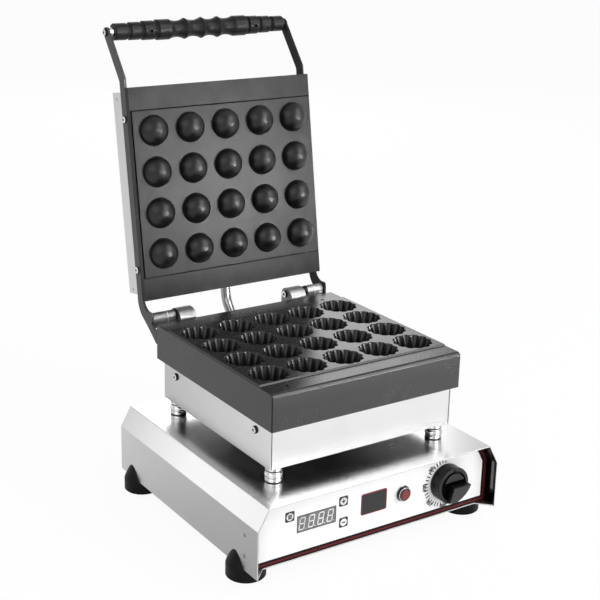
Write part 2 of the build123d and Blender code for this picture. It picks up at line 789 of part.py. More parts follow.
# Lower casting: ledges front and back, raised field with the cups, pocket beneath
plate_width = 2 * plate_half
plate_depth = plate_back - plate_front
plate_middle = (plate_front + plate_back) / 2
ledge_holes = [(-96.4, plate_front + 16.0), (96.2, plate_back - 20.0)]
with BuildPart() as lower_plate:
    with BuildSketch(level(plate_bottom)):
        with Locations((0, plate_middle)):
            Rectangle(plate_width, plate_depth)
    extrude(amount=ledge_top - plate_bottom)
    front_top = lower_plate.edges().filter_by(Axis.X).group_by(Axis.Z)[-1].sort_by(Axis.Y)[0]
    fillet(front_top, 4.5)
    fillet(lower_plate.edges().filter_by(Axis.Z), 1.2)
    with BuildSketch(level(ledge_top)):
        with Locations((0, plate_middle)):
            Rectangle(plate_width - 1.2, plate_depth - 2 * ledge)
    extrude(amount=field_rise, taper=35)
    with BuildSketch(level(plate_bottom)):
        with Locations((0, box_middle)):
            Rectangle(box_width + 0.4, box_depth + 0.4)
    extrude(amount=wall_top - plate_bottom, mode=Mode.SUBTRACT)
    with BuildSketch(level(wall_top)):
        with Locations((0, cups_y)):
            RectangleRounded(2 * 108, 2 * 98, 8)
    extrude(amount=pocket_top - wall_top, mode=Mode.SUBTRACT)
    with Locations(level(field_top, 0, cups_y)):
        with GridLocations(cup_pitch, cup_pitch, 5, 4):
            add(cup_space.part, mode=Mode.SUBTRACT)
    with Locations(*[level(ledge_top, x, y) for x, y in ledge_holes]):
        Hole(2.2, depth=8)
    with BuildSketch(rearward(plate_back)):
        with Locations(*[(turn * x, bracket_screw_z) for turn in (-1, 1) for x in bracket_screw_x]):
            Circle(2.5)
    extrude(amount=-9, mode=Mode.SUBTRACT)
lower_plate.part.label = "lower_plate"
export_step(lower_plate.part, "parts/lower_plate.step")

# Tubular element in the pocket, its cold ends turned down
lower_element_z = pocket_top - element_radius - 0.05
with BuildPart() as lower_heating_element:
    corners = element_path(cups_y, cup_pitch, element_reach)
    with BuildLine(level(lower_element_z)) as lower_path:
        FilletPolyline(*corners, radius=element_bend)
    with BuildSketch(Plane(origin=lower_path.line @ 0, z_dir=lower_path.line % 0)):
        Circle(element_radius)
    sweep()
    with BuildSketch(level(lower_element_z)):
        with Locations(corners[0], corners[-1]):
            Circle(element_radius)
    extrude(amount=-46)
    with Locations(*[level(lower_element_z, *corner) for corner in (corners[0], corners[-1])]):
        Sphere(element_radius)
lower_heating_element.part.label = "lower_heating_element"
export_step(lower_heating_element.part, "parts/lower_heating_element.step")

with BuildPart() as lower_insulation:
    with BuildSketch(level(clamp_z + 1.6)):
        with Locations((0, cups_y)):
            RectangleRounded(2 * 106, 2 * 96, 8)
        with Locations(corners[0], corners[-1]):
            Circle(element_radius + 1.5, mode=Mode.SUBTRACT)
    extrude(amount=lower_element_z - element_radius - 0.3 - clamp_z - 1.6)
lower_insulation.part.label = "lower_insulation"
export_step(lower_insulation.part, "parts/lower_insulation.step")

# Hinge brackets behind the casting, with rounded backs and a bore for the pin
for name, turn in (("hinge_bracket_left", -1), ("hinge_bracket_right", 1)):
    with BuildPart() as bracket:
        with BuildSketch(side_on(turn * bracket_in)):
            with BuildLine():
                nose = (hinge_y - 15.4, hinge_z - 4)
                Polyline(
                    (bracket_rear, hinge_z - 1),
                    (bracket_rear, 176),
                    (bracket_rear - 6, bracket_bottom),
                    (plate_back, bracket_bottom),
                    (plate_back, ledge_top - 4),
                    nose,
                )
                ThreePointArc(nose, (hinge_y - 11.6, hinge_z + 4.6), (hinge_y - 4.5, bracket_top))
                Line((hinge_y - 4.5, bracket_top), (hinge_y - 1, bracket_top))
                ThreePointArc(
                    (hinge_y - 1, bracket_top),
                    (hinge_y + 5.8, hinge_z + 5.2),
                    (bracket_rear, hinge_z - 1),
                )
            make_face()
        extrude(amount=turn * (bracket_out - bracket_in))
        with BuildSketch(side_on(turn * bracket_in)):
            with Locations((hinge_y, hinge_z)):
                Circle(pin_radius)
        extrude(amount=turn * (bracket_out - bracket_in), mode=Mode.SUBTRACT)
        with BuildSketch(rearward(hinge_y + 20)):
            with Locations(*[(-turn * x, bracket_screw_z) for x in bracket_screw_x]):
                Circle(2.6)
        extrude(amount=-60, mode=Mode.SUBTRACT)
        with BuildSketch(rearward(hinge_y + 20)):
            with Locations(*[(-turn * x, bracket_screw_z) for x in bracket_screw_x]):
                Circle(4.6)
        extrude(amount=-28, mode=Mode.SUBTRACT)
    bracket.part.label = name
    export_step(bracket.part, f"parts/{name}.step")

with BuildPart() as bracket_screws:
    with Locations(*[
        rearward(hinge_y - 8, turn * x, bracket_screw_z) for turn in (-1, 1) for x in bracket_screw_x
    ]):
        add(button_screw(4.3, 3.0, 2.5, 20.0, 3.0))
bracket_screws.part.label = "bracket_screws"
export_step(bracket_screws.part, "parts/bracket_screws.step")

# Hinge pins: socket heads on the inner faces, fixed in the brackets
head_length = 2.4
with BuildPart() as hinge_pins:
    for turn in (-1, 1):
        with BuildSketch(side_on(turn * (bracket_in - head_length))):
            with Locations((hinge_y, hinge_z)):
                Circle(pin_radius + 0.3)
        extrude(amount=turn * head_length)
        with BuildSketch(side_on(turn * bracket_in)):
            with Locations((hinge_y, hinge_z)):
                Circle(pin_radius)
        extrude(amount=turn * (hub_out - 1.5 - bracket_in))
        with BuildSketch(side_on(turn * (bracket_in - head_length))):
            with Locations((hinge_y, hinge_z)):
                RegularPolygon(1.6, 6, major_radius=False)
        extrude(amount=turn * head_length, mode=Mode.SUBTRACT)
hinge_pins.part.label = "hinge_pins"
export_step(hinge_pins.part, "parts/hinge_pins.step")


# Section of a spacer or hub: round over the pin and square below it
def hub_section(radius):
    with BuildSketch() as section:
        Circle(radius)
        with Locations((0, -hub_drop / 2)):
            Rectangle(2 * radius, hub_drop)
    return section.sketch


# Dark bushes and spacer blocks on the pins, outside the brackets
with BuildPart() as hinge_bushes:
    for turn in (-1, 1):
        with BuildSketch(side_on(turn * bracket_out)):
            with Locations((hinge_y, hinge_z)):
                Circle(bush_radius[turn])
                Circle(pin_radius, mode=Mode.SUBTRACT)
        extrude(amount=turn * (bush_out[turn] - bracket_out))
hinge_bushes.part.label = "hinge_bushes"
export_step(hinge_bushes.part, "parts/hinge_bushes.step")

with BuildPart() as hinge_spacers:
    for turn in (-1, 1):
        with BuildSketch(side_on(turn * bush_out[turn])):
            with Locations((hinge_y, hinge_z)):
                add(hub_section(hub_radius))
                Circle(pin_radius, mode=Mode.SUBTRACT)
        extrude(amount=turn * (spacer_out[turn] - bush_out[turn]))
hinge_spacers.part.label = "hinge_spacers"
export_step(hinge_spacers.part, "parts/hinge_spacers.step")

# Lid casting: flange, body, raised field and domes
domes_s = plate_back - cups_y
with BuildPart() as one_dome:
    with BuildSketch(Plane.XZ):
        with BuildLine():
            Line((0, -1), (dome_radius, -1))
            Line((dome_radius, -1), (dome_radius, 0.8))
            cap_arc(dome_radius, 0.8, dome_height)
            Line((0, dome_height), (0, -1))
        make_face()
    revolve(axis=Axis.Z)

with BuildPart() as upper_plate:
    with BuildSketch(lid_face(lid_flange)):
        with Locations((0, lid_length / 2)):
            Rectangle(plate_width, lid_length)
    extrude(amount=lid_flange)
    fillet(upper_plate.edges().group_by(Axis.Z)[-1], 1.0)
    with BuildSketch(lid_face(0)):
        with Locations((0, lid_length / 2)):
            Rectangle(plate_width - 1.2, lid_length - 2 * ledge)
    extrude(amount=field_rise, taper=35)
    with BuildSketch(lid_face(lid_body)):
        with Locations((0, lid_length / 2)):
            Rectangle(2 * lid_body_half, lid_length - 16)
    extrude(amount=lid_body - lid_flange)
    with Locations(lid_face(-field_rise, 0, domes_s)):
        with GridLocations(cup_pitch, cup_pitch, 5, 4):
            add(one_dome.part)
    for turn in (-1, 1):
        with Locations(*[lid_outward(turn * lid_body_half, arm_q, s) for s in arm_screw_s]):
            Hole(2.5, depth=14)
upper_plate.part.label = "upper_plate"
export_step(upper_plate.part, "parts/upper_plate.step")

# Stainless cover over the lid's back
cover_sheet = 1.0
cover_width = 2 * lid_cover_half
cover_length = lid_cover_high - lid_cover_low
cover_middle = (lid_cover_low + lid_cover_high) / 2
cover_rivet_places = ((40.4, 9.3), (40.3, 235.5))
with BuildPart() as lid_cover:
    with BuildSketch(lid_face(lid_flange)):
        with Locations((0, cover_middle)):
            Rectangle(cover_width, cover_length)
    extrude(amount=-(lid_cover_back - lid_flange))
    fillet(lid_cover.edges().group_by(Axis.Y)[-1], 1.2)
    with BuildSketch(lid_face(lid_flange)):
        with Locations((0, cover_middle)):
            Rectangle(cover_width - 2 * cover_sheet, cover_length - 2 * cover_sheet)
    extrude(amount=-(lid_cover_back - lid_flange - cover_sheet), mode=Mode.SUBTRACT)
    with BuildSketch(lid_side(-lid_cover_half - 1)):
        with Locations(*[(arm_q, s) for s in arm_screw_s]):
            Circle(2.6)
        with Locations(*cover_rivet_places):
            Circle(1.65)
    extrude(amount=cover_width + 2, mode=Mode.SUBTRACT)
    with BuildSketch(lid_down(lid_cover_low - 1, conduit_q)):
        Circle(7.1)
    extrude(amount=-4, mode=Mode.SUBTRACT)
lid_cover.part.label = "lid_cover"
export_step(lid_cover.part, "parts/lid_cover.step")

with BuildPart() as cover_rivets:
    with Locations(*[
        lid_outward(turn * lid_cover_half, q, s) for turn in (-1, 1) for q, s in cover_rivet_places
    ]):
        add(rivet(2.2, 0.7, 1.6, 2.4))
cover_rivets.part.label = "cover_rivets"
export_step(cover_rivets.part, "parts/cover_rivets.step")

# Element and insulation inside the cover
with BuildPart() as upper_heating_element:
    upper_corners = element_path(domes_s, cup_pitch, element_reach)
    element_q = lid_body + element_radius + 0.05
    with BuildLine(lid_face(element_q)) as upper_path:
        FilletPolyline(*upper_corners, radius=element_bend)
    with BuildSketch(Plane(origin=upper_path.line @ 0, z_dir=upper_path.line % 0)):
        Circle(element_radius)
    sweep()
upper_heating_element.part.label = "upper_heating_element"
export_step(upper_heating_element.part, "parts/upper_heating_element.step")

with BuildPart() as upper_insulation:
    with BuildSketch(lid_face(lid_cover_back - cover_sheet - 0.2)):
        with Locations((0, cover_middle + 8)):
            Rectangle(cover_width - 8, cover_length - 30)
    extrude(amount=lid_cover_back - cover_sheet - 0.2 - element_q - element_radius - 0.3)
upper_insulation.part.label = "upper_insulation"
export_step(upper_insulation.part, "parts/upper_insulation.step")


# A point of an arm's bar, measured back and up from the hinge
def from_hinge(q, s):
    place = lid_point(0, q, s)
    return (place[1] - base_y - hinge_y, place[2] - hinge_z)


# Outline of an arm's lug round the hinge: its lower nose meets the casting's back,
# which stops the lid
def lug_outline():
    rear_q, front_q = arm_q + arm_half, arm_q - arm_half
    nose = plate_back + stop_gap - hinge_y
    with BuildSketch() as outline:
        with BuildLine():
            Polyline(from_hinge(rear_q, 5), from_hinge(rear_q, 12), from_hinge(front_q, 12), from_hinge(front_q, 2))
            ThreePointArc(from_hinge(front_q, 2), (10.4, 12.4), (3.0, 8.3))
            Polyline((3.0, 8.3), (-6.8, 8.3), (-8.4, 5.0), (-8.6, -5.2), (-13.4, -8.8), (nose, -8.8))
            Polyline((nose, -8.8), (nose, -21.5), (-19.2, -24.9), (-4.7, -14.2), (7.8, -5.8), (15.8, -1.0))
            ThreePointArc((15.8, -1.0), (23.0, 7.0), from_hinge(rear_q, 5))
        make_face()
    return outline.sketch


lug_shape = lug_outline()
upper_turn = degrees(atan2(grip_s - bend_s, grip_q - arm_q))
upper_length = hypot(grip_s - bend_s, grip_q - arm_q)
for name, turn in (("arm_left", -1), ("arm_right", 1)):
    with BuildPart() as arm:
        with BuildSketch(side_on(turn * arm_in)):
            with Locations((hinge_y, hinge_z)):
                add(lug_shape)
        extrude(amount=turn * arm_sheet)
        with BuildSketch(lid_side(turn * arm_in)):
            with Locations((arm_q, (bend_s + 4) / 2)):
                SlotCenterToCenter(bend_s - 4, 2 * arm_half, rotation=90)
            with Locations(((arm_q + grip_q) / 2, (bend_s + grip_s) / 2)):
                SlotCenterToCenter(upper_length, 2 * arm_half, rotation=upper_turn)
            with Locations(*[(arm_q, s) for s in arm_screw_s]):
                Circle(2.6, mode=Mode.SUBTRACT)
            with Locations((grip_q, grip_s)):
                Circle(2.6, mode=Mode.SUBTRACT)
        extrude(amount=turn * arm_sheet)
    arm.part.label = name
    export_step(arm.part, f"parts/{name}.step")

with BuildPart() as arm_spacers:
    with Locations(*[lid_outward(turn * lid_cover_half, arm_q, s) for turn in (-1, 1) for s in arm_screw_s]):
        Cylinder(5.0, arm_in - lid_cover_half, align=(Align.CENTER, Align.CENTER, Align.MIN))
        Cylinder(2.6, 10, mode=Mode.SUBTRACT)
arm_spacers.part.label = "arm_spacers"
export_step(arm_spacers.part, "parts/arm_spacers.step")

with BuildPart() as arm_screws:
    with Locations(*[lid_outward(turn * arm_out, arm_q, s) for turn in (-1, 1) for s in arm_screw_s]):
        add(button_screw(4.2, 2.4, 2.45, 18.0, 3.0))
arm_screws.part.label = "arm_screws"
export_step(arm_screws.part, "parts/arm_screws.step")

# Hubs welded to the lugs, turning on the pins
with BuildPart() as hinge_hubs:
    for turn in (-1, 1):
        with BuildSketch(side_on(turn * hub_in[turn])):
            with Locations((hinge_y, hinge_z)):
                add(hub_section(hub_radius))
        extrude(amount=turn * (hub_out - hub_in[turn]))
        with BuildSketch(side_on(turn * hub_in[turn])):
            with Locations((hinge_y, hinge_z)):
                Circle(pin_radius + pin_fit)
        extrude(amount=turn * (hub_out - 1.2 - hub_in[turn]), mode=Mode.SUBTRACT)
hinge_hubs.part.label = "hinge_hubs"
export_step(hinge_hubs.part, "parts/hinge_hubs.step")

# Handle: rod from arm to arm, spacers at its ends, and a shaped grip
with BuildPart() as handle_rod:
    with BuildSketch(lid_side(-arm_in, grip_q, grip_s)):
        Circle(rod_radius)
    extrude(amount=2 * arm_in)
    with BuildSketch(lid_side(-arm_in, grip_q, grip_s)):
        Circle(2.5)
    extrude(amount=14, mode=Mode.SUBTRACT)
    with BuildSketch(lid_side(arm_in, grip_q, grip_s)):
        Circle(2.5)
    extrude(amount=-14, mode=Mode.SUBTRACT)
handle_rod.part.label = "handle_rod"
export_step(handle_rod.part, "parts/handle_rod.step")

with BuildPart() as handle_screws:
    with Locations(*[lid_outward(turn * arm_out, grip_q, grip_s) for turn in (-1, 1)]):
        add(button_screw(4.6, 2.6, 2.45, 14.0, 3.0))
handle_screws.part.label = "handle_screws"
export_step(handle_screws.part, "parts/handle_screws.step")

with BuildPart() as handle_spacers:
    with BuildSketch(lid_side(-arm_in, grip_q, grip_s)):
        Circle(5.4)
        Circle(rod_radius + 0.05, mode=Mode.SUBTRACT)
    extrude(amount=grip_left + arm_in)
    with BuildSketch(lid_side(grip_right, grip_q, grip_s)):
        Circle(5.4)
        Circle(rod_radius + 0.05, mode=Mode.SUBTRACT)
    extrude(amount=arm_in - grip_right)
handle_spacers.part.label = "handle_spacers"
export_step(handle_spacers.part, "parts/handle_spacers.step")

# Grip profile along the rod: stepped rings, finger waists, stepped rings again
left_rings = ((-114.5, -97.8, 10.0), (-94.6, -80.6, 10.5), (-77.4, -62.2, 11.3), (-58.6, -42.4, 12.2))
right_rings = ((47.2, 64.9, 12.3), (67.6, 82.4, 11.1), (85.2, 99.6, 10.3), (102.6, 119.0, 9.5))
waists = ((-31.6, 9.7), (-9.2, 9.7), (13.6, 9.7), (36.2, 9.9))
crests = ((-42.4, 12.2), (-20.6, 12.6), (2.6, 12.7), (25.0, 12.7), (47.2, 12.3))
groove_depth = 1.5
grip_pin_places = ((-69.8, 0), (75.0, 0))


# The edge of a row of rings: each ends in a slope on its right, before a groove
def ring_edge(rings):
    points = []
    for start, end, radius in rings:
        if points:
            points += [(points[-1][0] + 0.1, points[-1][1] - 0.6), (start - 0.1, radius - groove_depth)]
        points += [(start, radius - 0.5), (start + 0.6, radius), (end - 1.4, radius), (end, radius - 0.9)]
    return points


with BuildPart() as handle_grip:
    with BuildSketch(Plane(origin=lid_point(0, grip_q, grip_s), x_dir=(1, 0, 0), z_dir=(0, -1, 0))):
        with BuildLine():
            left_edge = ring_edge(left_rings)
            right_edge = ring_edge(right_rings)
            Polyline((grip_left, rod_radius + 0.1), *left_edge[:-1], crests[0])
            for (x0, r0), (x1, r1), (waist_x, waist_r) in zip(crests, crests[1:], waists):
                ThreePointArc((x0, r0), (waist_x, waist_r), (x1, r1))
            Polyline(crests[-1], *right_edge[1:], (grip_right, rod_radius + 0.1))
            Line((grip_right, rod_radius + 0.1), (grip_left, rod_radius + 0.1))
        make_face()
    revolve(axis=Axis(lid_point(0, grip_q, grip_s), (1, 0, 0)))
    with BuildSketch(Plane(origin=lid_point(0, grip_q, grip_s), x_dir=(1, 0, 0), z_dir=(0, -1, 0))):
        with Locations(*grip_pin_places):
            Circle(1.8)
    extrude(amount=20, mode=Mode.SUBTRACT)
handle_grip.part.label = "handle_grip"
export_step(handle_grip.part, "parts/handle_grip.step")

with BuildPart() as grip_pins:
    with BuildSketch(Plane(origin=lid_point(0, grip_q, grip_s), x_dir=(1, 0, 0), z_dir=(0, -1, 0)).offset(4.2)):
        with Locations(*grip_pin_places):
            Circle(1.75)
    extrude(amount=3.6)
grip_pins.part.label = "grip_pins"
export_step(grip_pins.part, "parts/grip_pins.step")

# Gland under the lid's cover, conduit and its bush in the casing
with BuildPart() as lid_gland:
    with BuildSketch(lid_down(conduit_start_s, conduit_q)):
        Circle(7.0)
    extrude(amount=-(lid_cover_low + 8 - conduit_start_s))
    with BuildSketch(lid_down(lid_cover_low, conduit_q)):
        RegularPolygon(8.6, 6, major_radius=False)
    extrude(amount=4)
    with BuildSketch(lid_down(conduit_start_s, conduit_q)):
        Circle(3.5)
    extrude(amount=-30, mode=Mode.SUBTRACT)
lid_gland.part.label = "lid_gland"
export_step(lid_gland.part, "parts/lid_gland.step")

conduit_route = (
    lid_point(0, conduit_q, conduit_start_s),
    lid_point(0, conduit_q, conduit_start_s - 19.0),
    (0, base_y + conduit_foot_y, 156.0),
    (0, base_y + conduit_foot_y, 62.0),
)
conduit_bends = [22.0, 68.0]
with BuildPart() as conduit:
    with BuildLine() as route:
        FilletPolyline(*conduit_route, radius=conduit_bends)
    with BuildSketch(Plane(origin=route.line @ 0, z_dir=route.line % 0)):
        Circle(conduit_radius)
    sweep()
conduit.part.label = "conduit"
export_step(conduit.part, "parts/conduit.step")
route_length = sum(edge.length for edge in route.edges())
print("conduit bends", conduit_bends, "length", round(route_length, 1))
print("tube volume over section times length", conduit.part.volume / (pi * conduit_radius**2 * route_length))

with BuildPart() as conduit_bush:
    with BuildSketch(level(casing_top)):
        with Locations((0, conduit_foot_y)):
            Circle(conduit_radius + 3.6)
    extrude(amount=5)
    fillet(conduit_bush.edges().group_by(Axis.Z)[-1], 1.5)
    with BuildSketch(level(casing_top)):
        with Locations((0, conduit_foot_y)):
            Circle(conduit_radius + 1.9)
    extrude(amount=-6)
    with BuildSketch(level(casing_top + 10)):
        with Locations((0, conduit_foot_y)):
            Circle(conduit_radius + 0.2)
    extrude(amount=-30, mode=Mode.SUBTRACT)
conduit_bush.part.label = "conduit_bush"
export_step(conduit_bush.part, "parts/conduit_bush.step")
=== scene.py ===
import math

import bpy
from mathutils import Matrix, Vector


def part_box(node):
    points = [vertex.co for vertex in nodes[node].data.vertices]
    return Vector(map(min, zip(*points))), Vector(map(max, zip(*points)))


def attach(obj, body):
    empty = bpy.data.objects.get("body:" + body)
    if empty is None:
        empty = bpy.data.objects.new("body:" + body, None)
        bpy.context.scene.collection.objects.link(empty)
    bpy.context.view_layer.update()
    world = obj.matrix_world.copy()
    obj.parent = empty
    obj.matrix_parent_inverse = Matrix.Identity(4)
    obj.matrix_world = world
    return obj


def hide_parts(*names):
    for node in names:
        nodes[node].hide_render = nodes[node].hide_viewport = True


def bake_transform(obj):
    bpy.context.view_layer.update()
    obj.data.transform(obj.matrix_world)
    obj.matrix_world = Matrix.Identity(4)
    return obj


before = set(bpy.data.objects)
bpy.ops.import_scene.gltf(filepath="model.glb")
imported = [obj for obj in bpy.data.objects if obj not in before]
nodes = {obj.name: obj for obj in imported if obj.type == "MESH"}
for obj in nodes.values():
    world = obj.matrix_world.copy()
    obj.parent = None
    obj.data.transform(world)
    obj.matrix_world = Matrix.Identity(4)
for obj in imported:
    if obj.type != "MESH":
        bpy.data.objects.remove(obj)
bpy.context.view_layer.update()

print("frame loaded:", len(nodes), "nodes")


# camera: where the photograph was taken from
shot = {
    "place": (-0.79236, -1.19275, 0.70618),
    "yaw": math.radians(-33.42),
    "pitch": math.radians(16.886),
    "roll": math.radians(1.195),
    "lens": 78.375,
    "shift": (0.0316, -0.0542),
    "clip": (0.05, 30),
}


def shotCamera():
    # back, side and rise are the camera's own axes before it rolls
    yaw, pitch, roll = shot["yaw"], shot["pitch"], shot["roll"]
    back = Vector((math.sin(yaw) * math.cos(pitch), -math.cos(yaw) * math.cos(pitch), math.sin(pitch)))
    side = Vector((math.cos(yaw), math.sin(yaw), 0))
    rise = back.cross(side)
    across = side * math.cos(roll) + rise * math.sin(roll)
    upwards = rise * math.cos(roll) - side * math.sin(roll)
    cameraData = bpy.data.cameras.new("shotCamera")
    cameraData.lens = shot["lens"]
    cameraData.sensor_width = 36
    cameraData.shift_x, cameraData.shift_y = shot["shift"]
    cameraData.clip_start, cameraData.clip_end = shot["clip"]
    camera = bpy.data.objects.new("shotCamera", cameraData)
    axes = Matrix((across, upwards, back)).transposed().to_4x4()
    camera.matrix_world = Matrix.Translation(shot["place"]) @ axes
    bpy.context.scene.collection.objects.link(camera)
    bpy.context.scene.camera = camera


shotCamera()
print("camera set")


# shader building
class Wire:
    # a socket that can stand in a sum; every operation adds its Math node
    def __init__(self, graph, socket):
        self.graph = graph
        self.socket = socket

    def do(self, operation, other=None):
        values = {0: self} if other is None else {0: self, 1: other}
        return self.graph.node("ShaderNodeMath", {"operation": operation}, values)

    def __add__(self, other):
        return self.do("ADD", other)

    __radd__ = __add__

    def __mul__(self, other):
        return self.do("MULTIPLY", other)

    __rmul__ = __mul__

    def __sub__(self, other):
        return self.do("SUBTRACT", other)

    def __rsub__(self, other):
        return (self * -1) + other

    def __gt__(self, other):
        return self.do("GREATER_THAN", other)

    def __lt__(self, other):
        return self.do("LESS_THAN", other)

    def __or__(self, other):
        return self.do("MAXIMUM", other)

    def __abs__(self):
        return self.do("ABSOLUTE")


class Graph:
    # a node tree; node() adds any node to it
    def __init__(self, tree):
        self.tree = tree

    def node(self, kind, settings=None, values=None, output=0):
        made = self.tree.nodes.new(kind)
        for name, value in (settings or {}).items():
            setattr(made, name, value)
        for name, value in (values or {}).items():
            if isinstance(value, Wire):
                self.tree.links.new(value.socket, made.inputs[name])
            else:
                made.inputs[name].default_value = value
        return Wire(self, made.outputs[output])


class Finish(Graph):
    # one material with its Principled shader
    def __init__(self, name, fixed):
        self.material = bpy.data.materials.new(name)
        self.material.use_nodes = True
        super().__init__(self.material.node_tree)
        self.shader = self.tree.nodes["Principled BSDF"]
        for socket, value in fixed.items():
            self.shader.inputs[socket].default_value = value
        self.coordinates = None

    def drive(self, socket, wire):
        self.tree.links.new(wire.socket, self.shader.inputs[socket])

    def place(self):
        if self.coordinates is None:
            self.coordinates = self.node("ShaderNodeTexCoord", output="Object")
        return self.coordinates

    def parts(self, wire):
        outputs = self.node("ShaderNodeSeparateXYZ", None, {0: wire}).socket.node.outputs
        return [Wire(self, outputs[i]) for i in range(3)]

    def axes(self):
        return self.parts(self.place())

    def facing(self):
        # which way the surface faces, on the piece's own axes
        return self.parts(self.node("ShaderNodeTexCoord", output="Normal"))

    def noise(self, scale, detail=2.0, rough=0.5, stretch=(1, 1, 1)):
        where = self.node("ShaderNodeMapping", None, {"Vector": self.place(), "Scale": stretch})
        values = {"Vector": where, "Scale": scale, "Detail": detail, "Roughness": rough}
        return self.node("ShaderNodeTexNoise", None, values)

    def spread(self, wire, low, high, newLow, newHigh):
        values = {"Value": wire, "From Min": low, "From Max": high, "To Min": newLow, "To Max": newHigh}
        return self.node("ShaderNodeMapRange", {"clamp": True}, values)

    def blendColour(self, mask, first, second):
        return self.node("ShaderNodeMix", {"data_type": "RGBA"}, {0: mask, 6: first, 7: second}, output=2)

    def mottle(self, pattern, dark, light):
        # a noise gathers round its middle, so it is spread before it blends two colours
        return self.blendColour(self.spread(pattern, 0.35, 0.65, 0, 1), dark, light)

    def bump(self, height, distance, strength, normal=None):
        values = {"Height": height, "Distance": distance, "Strength": strength}
        if normal is not None:
            values["Normal"] = normal
        return self.node("ShaderNodeBump", None, values)

    def softEdge(self, radius):
        return self.node("ShaderNodeBevel", {"samples": 4}, {"Radius": radius})


def grey(level, warm=0.0):
    return (level * (1 + warm), level, level * (1 - warm), 1)


black = grey(0.0)


def between(wire, limits):
    return (wire > limits[0]) * (wire < limits[1])


def distanceTo(place, first, second):
    # how far a spot is from a place, seen along the third axis
    return ((first - place[0]).do("POWER", 2.0) + (second - place[1]).do("POWER", 2.0)).do("SQRT")


def paint(material, *names):
    for name in names:
        for slot in nodes[name].material_slots:
            slot.material = material


# main places on the machine, in metres
baseY = -0.0495  # the base's middle stands ahead of the whole machine's middle
machine = {
    "lidPlace": (0.156011 + baseY, 0.220137),
    "lean": math.radians(9.08),
    "casingHalf": 0.160,
    "casingBend": 0.071,
    "chamferTurn": math.atan2(0.0128, 0.0231),
    "overlayFront": -0.137 + baseY,
    "overlayBottom": 0.0182,
    "castingFront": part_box("lower_plate")[0].y,
    "castingHalf": -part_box("lower_plate")[0].x,
    "lampPlace": (0.0364, 0.0582),
    "knobPlace": (0.0969, 0.0574),
    "displayPlace": (-0.0769, 0.0566),
    "pinPlace": (0.1001, 0.2003),
}


def fromOutline(reach, z):
    # distance inwards from the casing's outline; reach is the distance to its upright side
    turn = machine["chamferTurn"]
    shoulder = reach * math.cos(turn) + (machine["casingBend"] - z) * math.sin(turn)
    return reach.do("MINIMUM", shoulder)


def onLid(depth, height):
    # a place on the lid, seen from its side
    lidY, lidZ = machine["lidPlace"]
    lean = machine["lean"]
    return (
        lidY + height * math.sin(lean) + depth * math.cos(lean),
        lidZ + height * math.cos(lean) - depth * math.sin(lean),
    )


def lidDepth(finish):
    # how far a place on the lid lies behind the face of its flange
    x, y, z = finish.axes()
    lidY, lidZ = machine["lidPlace"]
    return (y - lidY) * math.cos(machine["lean"]) - (z - lidZ) * math.sin(machine["lean"])


# stainless sheet
steel = {
    "tone": 0.80,
    "rough": 0.24,
    "cloud": 9.0,
    "spot": 60.0,
    "cloudRough": 0.10,
    "streakRough": 0.06,
    "spotRough": 0.05,
    "streakDepth": 0.000004,
    "edge": 0.0005,
    "upright": (0.92, 0.97),        # how far a side faces left or right
    "sloped": (0.7, 0.92),
    "sideReach": (-0.20, 0.16),     # two places from front to back
    # the next pairs set painted shade on upright sides and sloped shoulders
    "sideShade": (0.45, 0.08),       # how much darker an upright side is at them
    "shoulderReach": (-0.05, 0.20),
    "shoulderShade": (0, 0.4),
    "cloudDull": 0.12,
}
brushing = {
    # how finely the streaks are packed along each axis
    "acrossAndDown": (14, 900, 14),
    "across": (14, 900, 900),
    "level": (14, 14, 900),
    "none": (200, 200, 200),
}


def brushedSteel(name, streak, tone=steel["tone"], rough=steel["rough"], inShade=steel["sideShade"]):
    finish = Finish(name, {"Metallic": 1.0})
    lines = finish.noise(1.0, 2.0, 0.6, stretch=brushing[streak])
    cloud = finish.noise(steel["cloud"], 3.0, 0.55)
    spots = finish.noise(steel["spot"], 4.0, 0.6)
    roughness = rough + (cloud - 0.5) * steel["cloudRough"]
    roughness = roughness + (lines - 0.5) * steel["streakRough"] + (spots - 0.5) * steel["spotRough"]
    colour = finish.mottle(cloud * 0.7 + spots * 0.3, grey(tone * 0.95), grey(tone * 1.03))
    facing = abs(finish.facing()[0])
    x, y, z = finish.axes()
    # painted shade: upright sides and sloped shoulders darken along the machine's depth by the given shares,
    # with a random cloud on top
    side = finish.spread(facing, *steel["upright"], 0, 1) * finish.spread(y, *steel["sideReach"], *inShade)
    shoulder = finish.spread(y, *steel["shoulderReach"], *steel["shoulderShade"])
    shoulder = shoulder * between(facing, steel["sloped"])
    colour = finish.blendColour(side + shoulder + (cloud - 0.5) * steel["cloudDull"], colour, black)
    finish.drive("Roughness", roughness)
    finish.drive("Normal", finish.bump(lines, steel["streakDepth"], 0.5, finish.softEdge(steel["edge"])))
    return finish, colour


casing = {
    "skin": 0.0009,          # the sheet's inner skin starts this far inside the outline
    "skinTop": 0.0925,
    "bar": (-0.1985, -0.1945),
    "barFoot": 0.036,
    "skinShadeTone": 0.012,
    "barReflectionTone": 0.16,
}


def casingSteel():
    # painted shade: the sheet's inner skin ahead of the panel is dark, with one grey bar down it as a
    # painted reflection
    finish, colour = brushedSteel("casingSteel", "across")
    x, y, z = finish.axes()
    inset = fromOutline(machine["casingHalf"] - abs(x), z)
    skin = (inset > casing["skin"]) * (y < machine["overlayFront"]) * (z < casing["skinTop"])
    bar = between(y, casing["bar"]) * (z > casing["barFoot"])
    shadeAndReflection = finish.blendColour(bar, grey(casing["skinShadeTone"]), grey(casing["barReflectionTone"]))
    finish.drive("Base Color", finish.blendColour(skin, colour, shadeAndReflection))
    return finish.material


box = {
    "joint": 0.1184,
    "jointHalf": 0.00055,
    "jointBack": -0.1605,
    "insideHalf": 0.1185,
    "inside": (-0.1600, 0.0680),
    # the joint's own dark, which also paints the box's inside as shade
    "dark": 0.008,
    "sideShade": (0.0, 0.36),
}


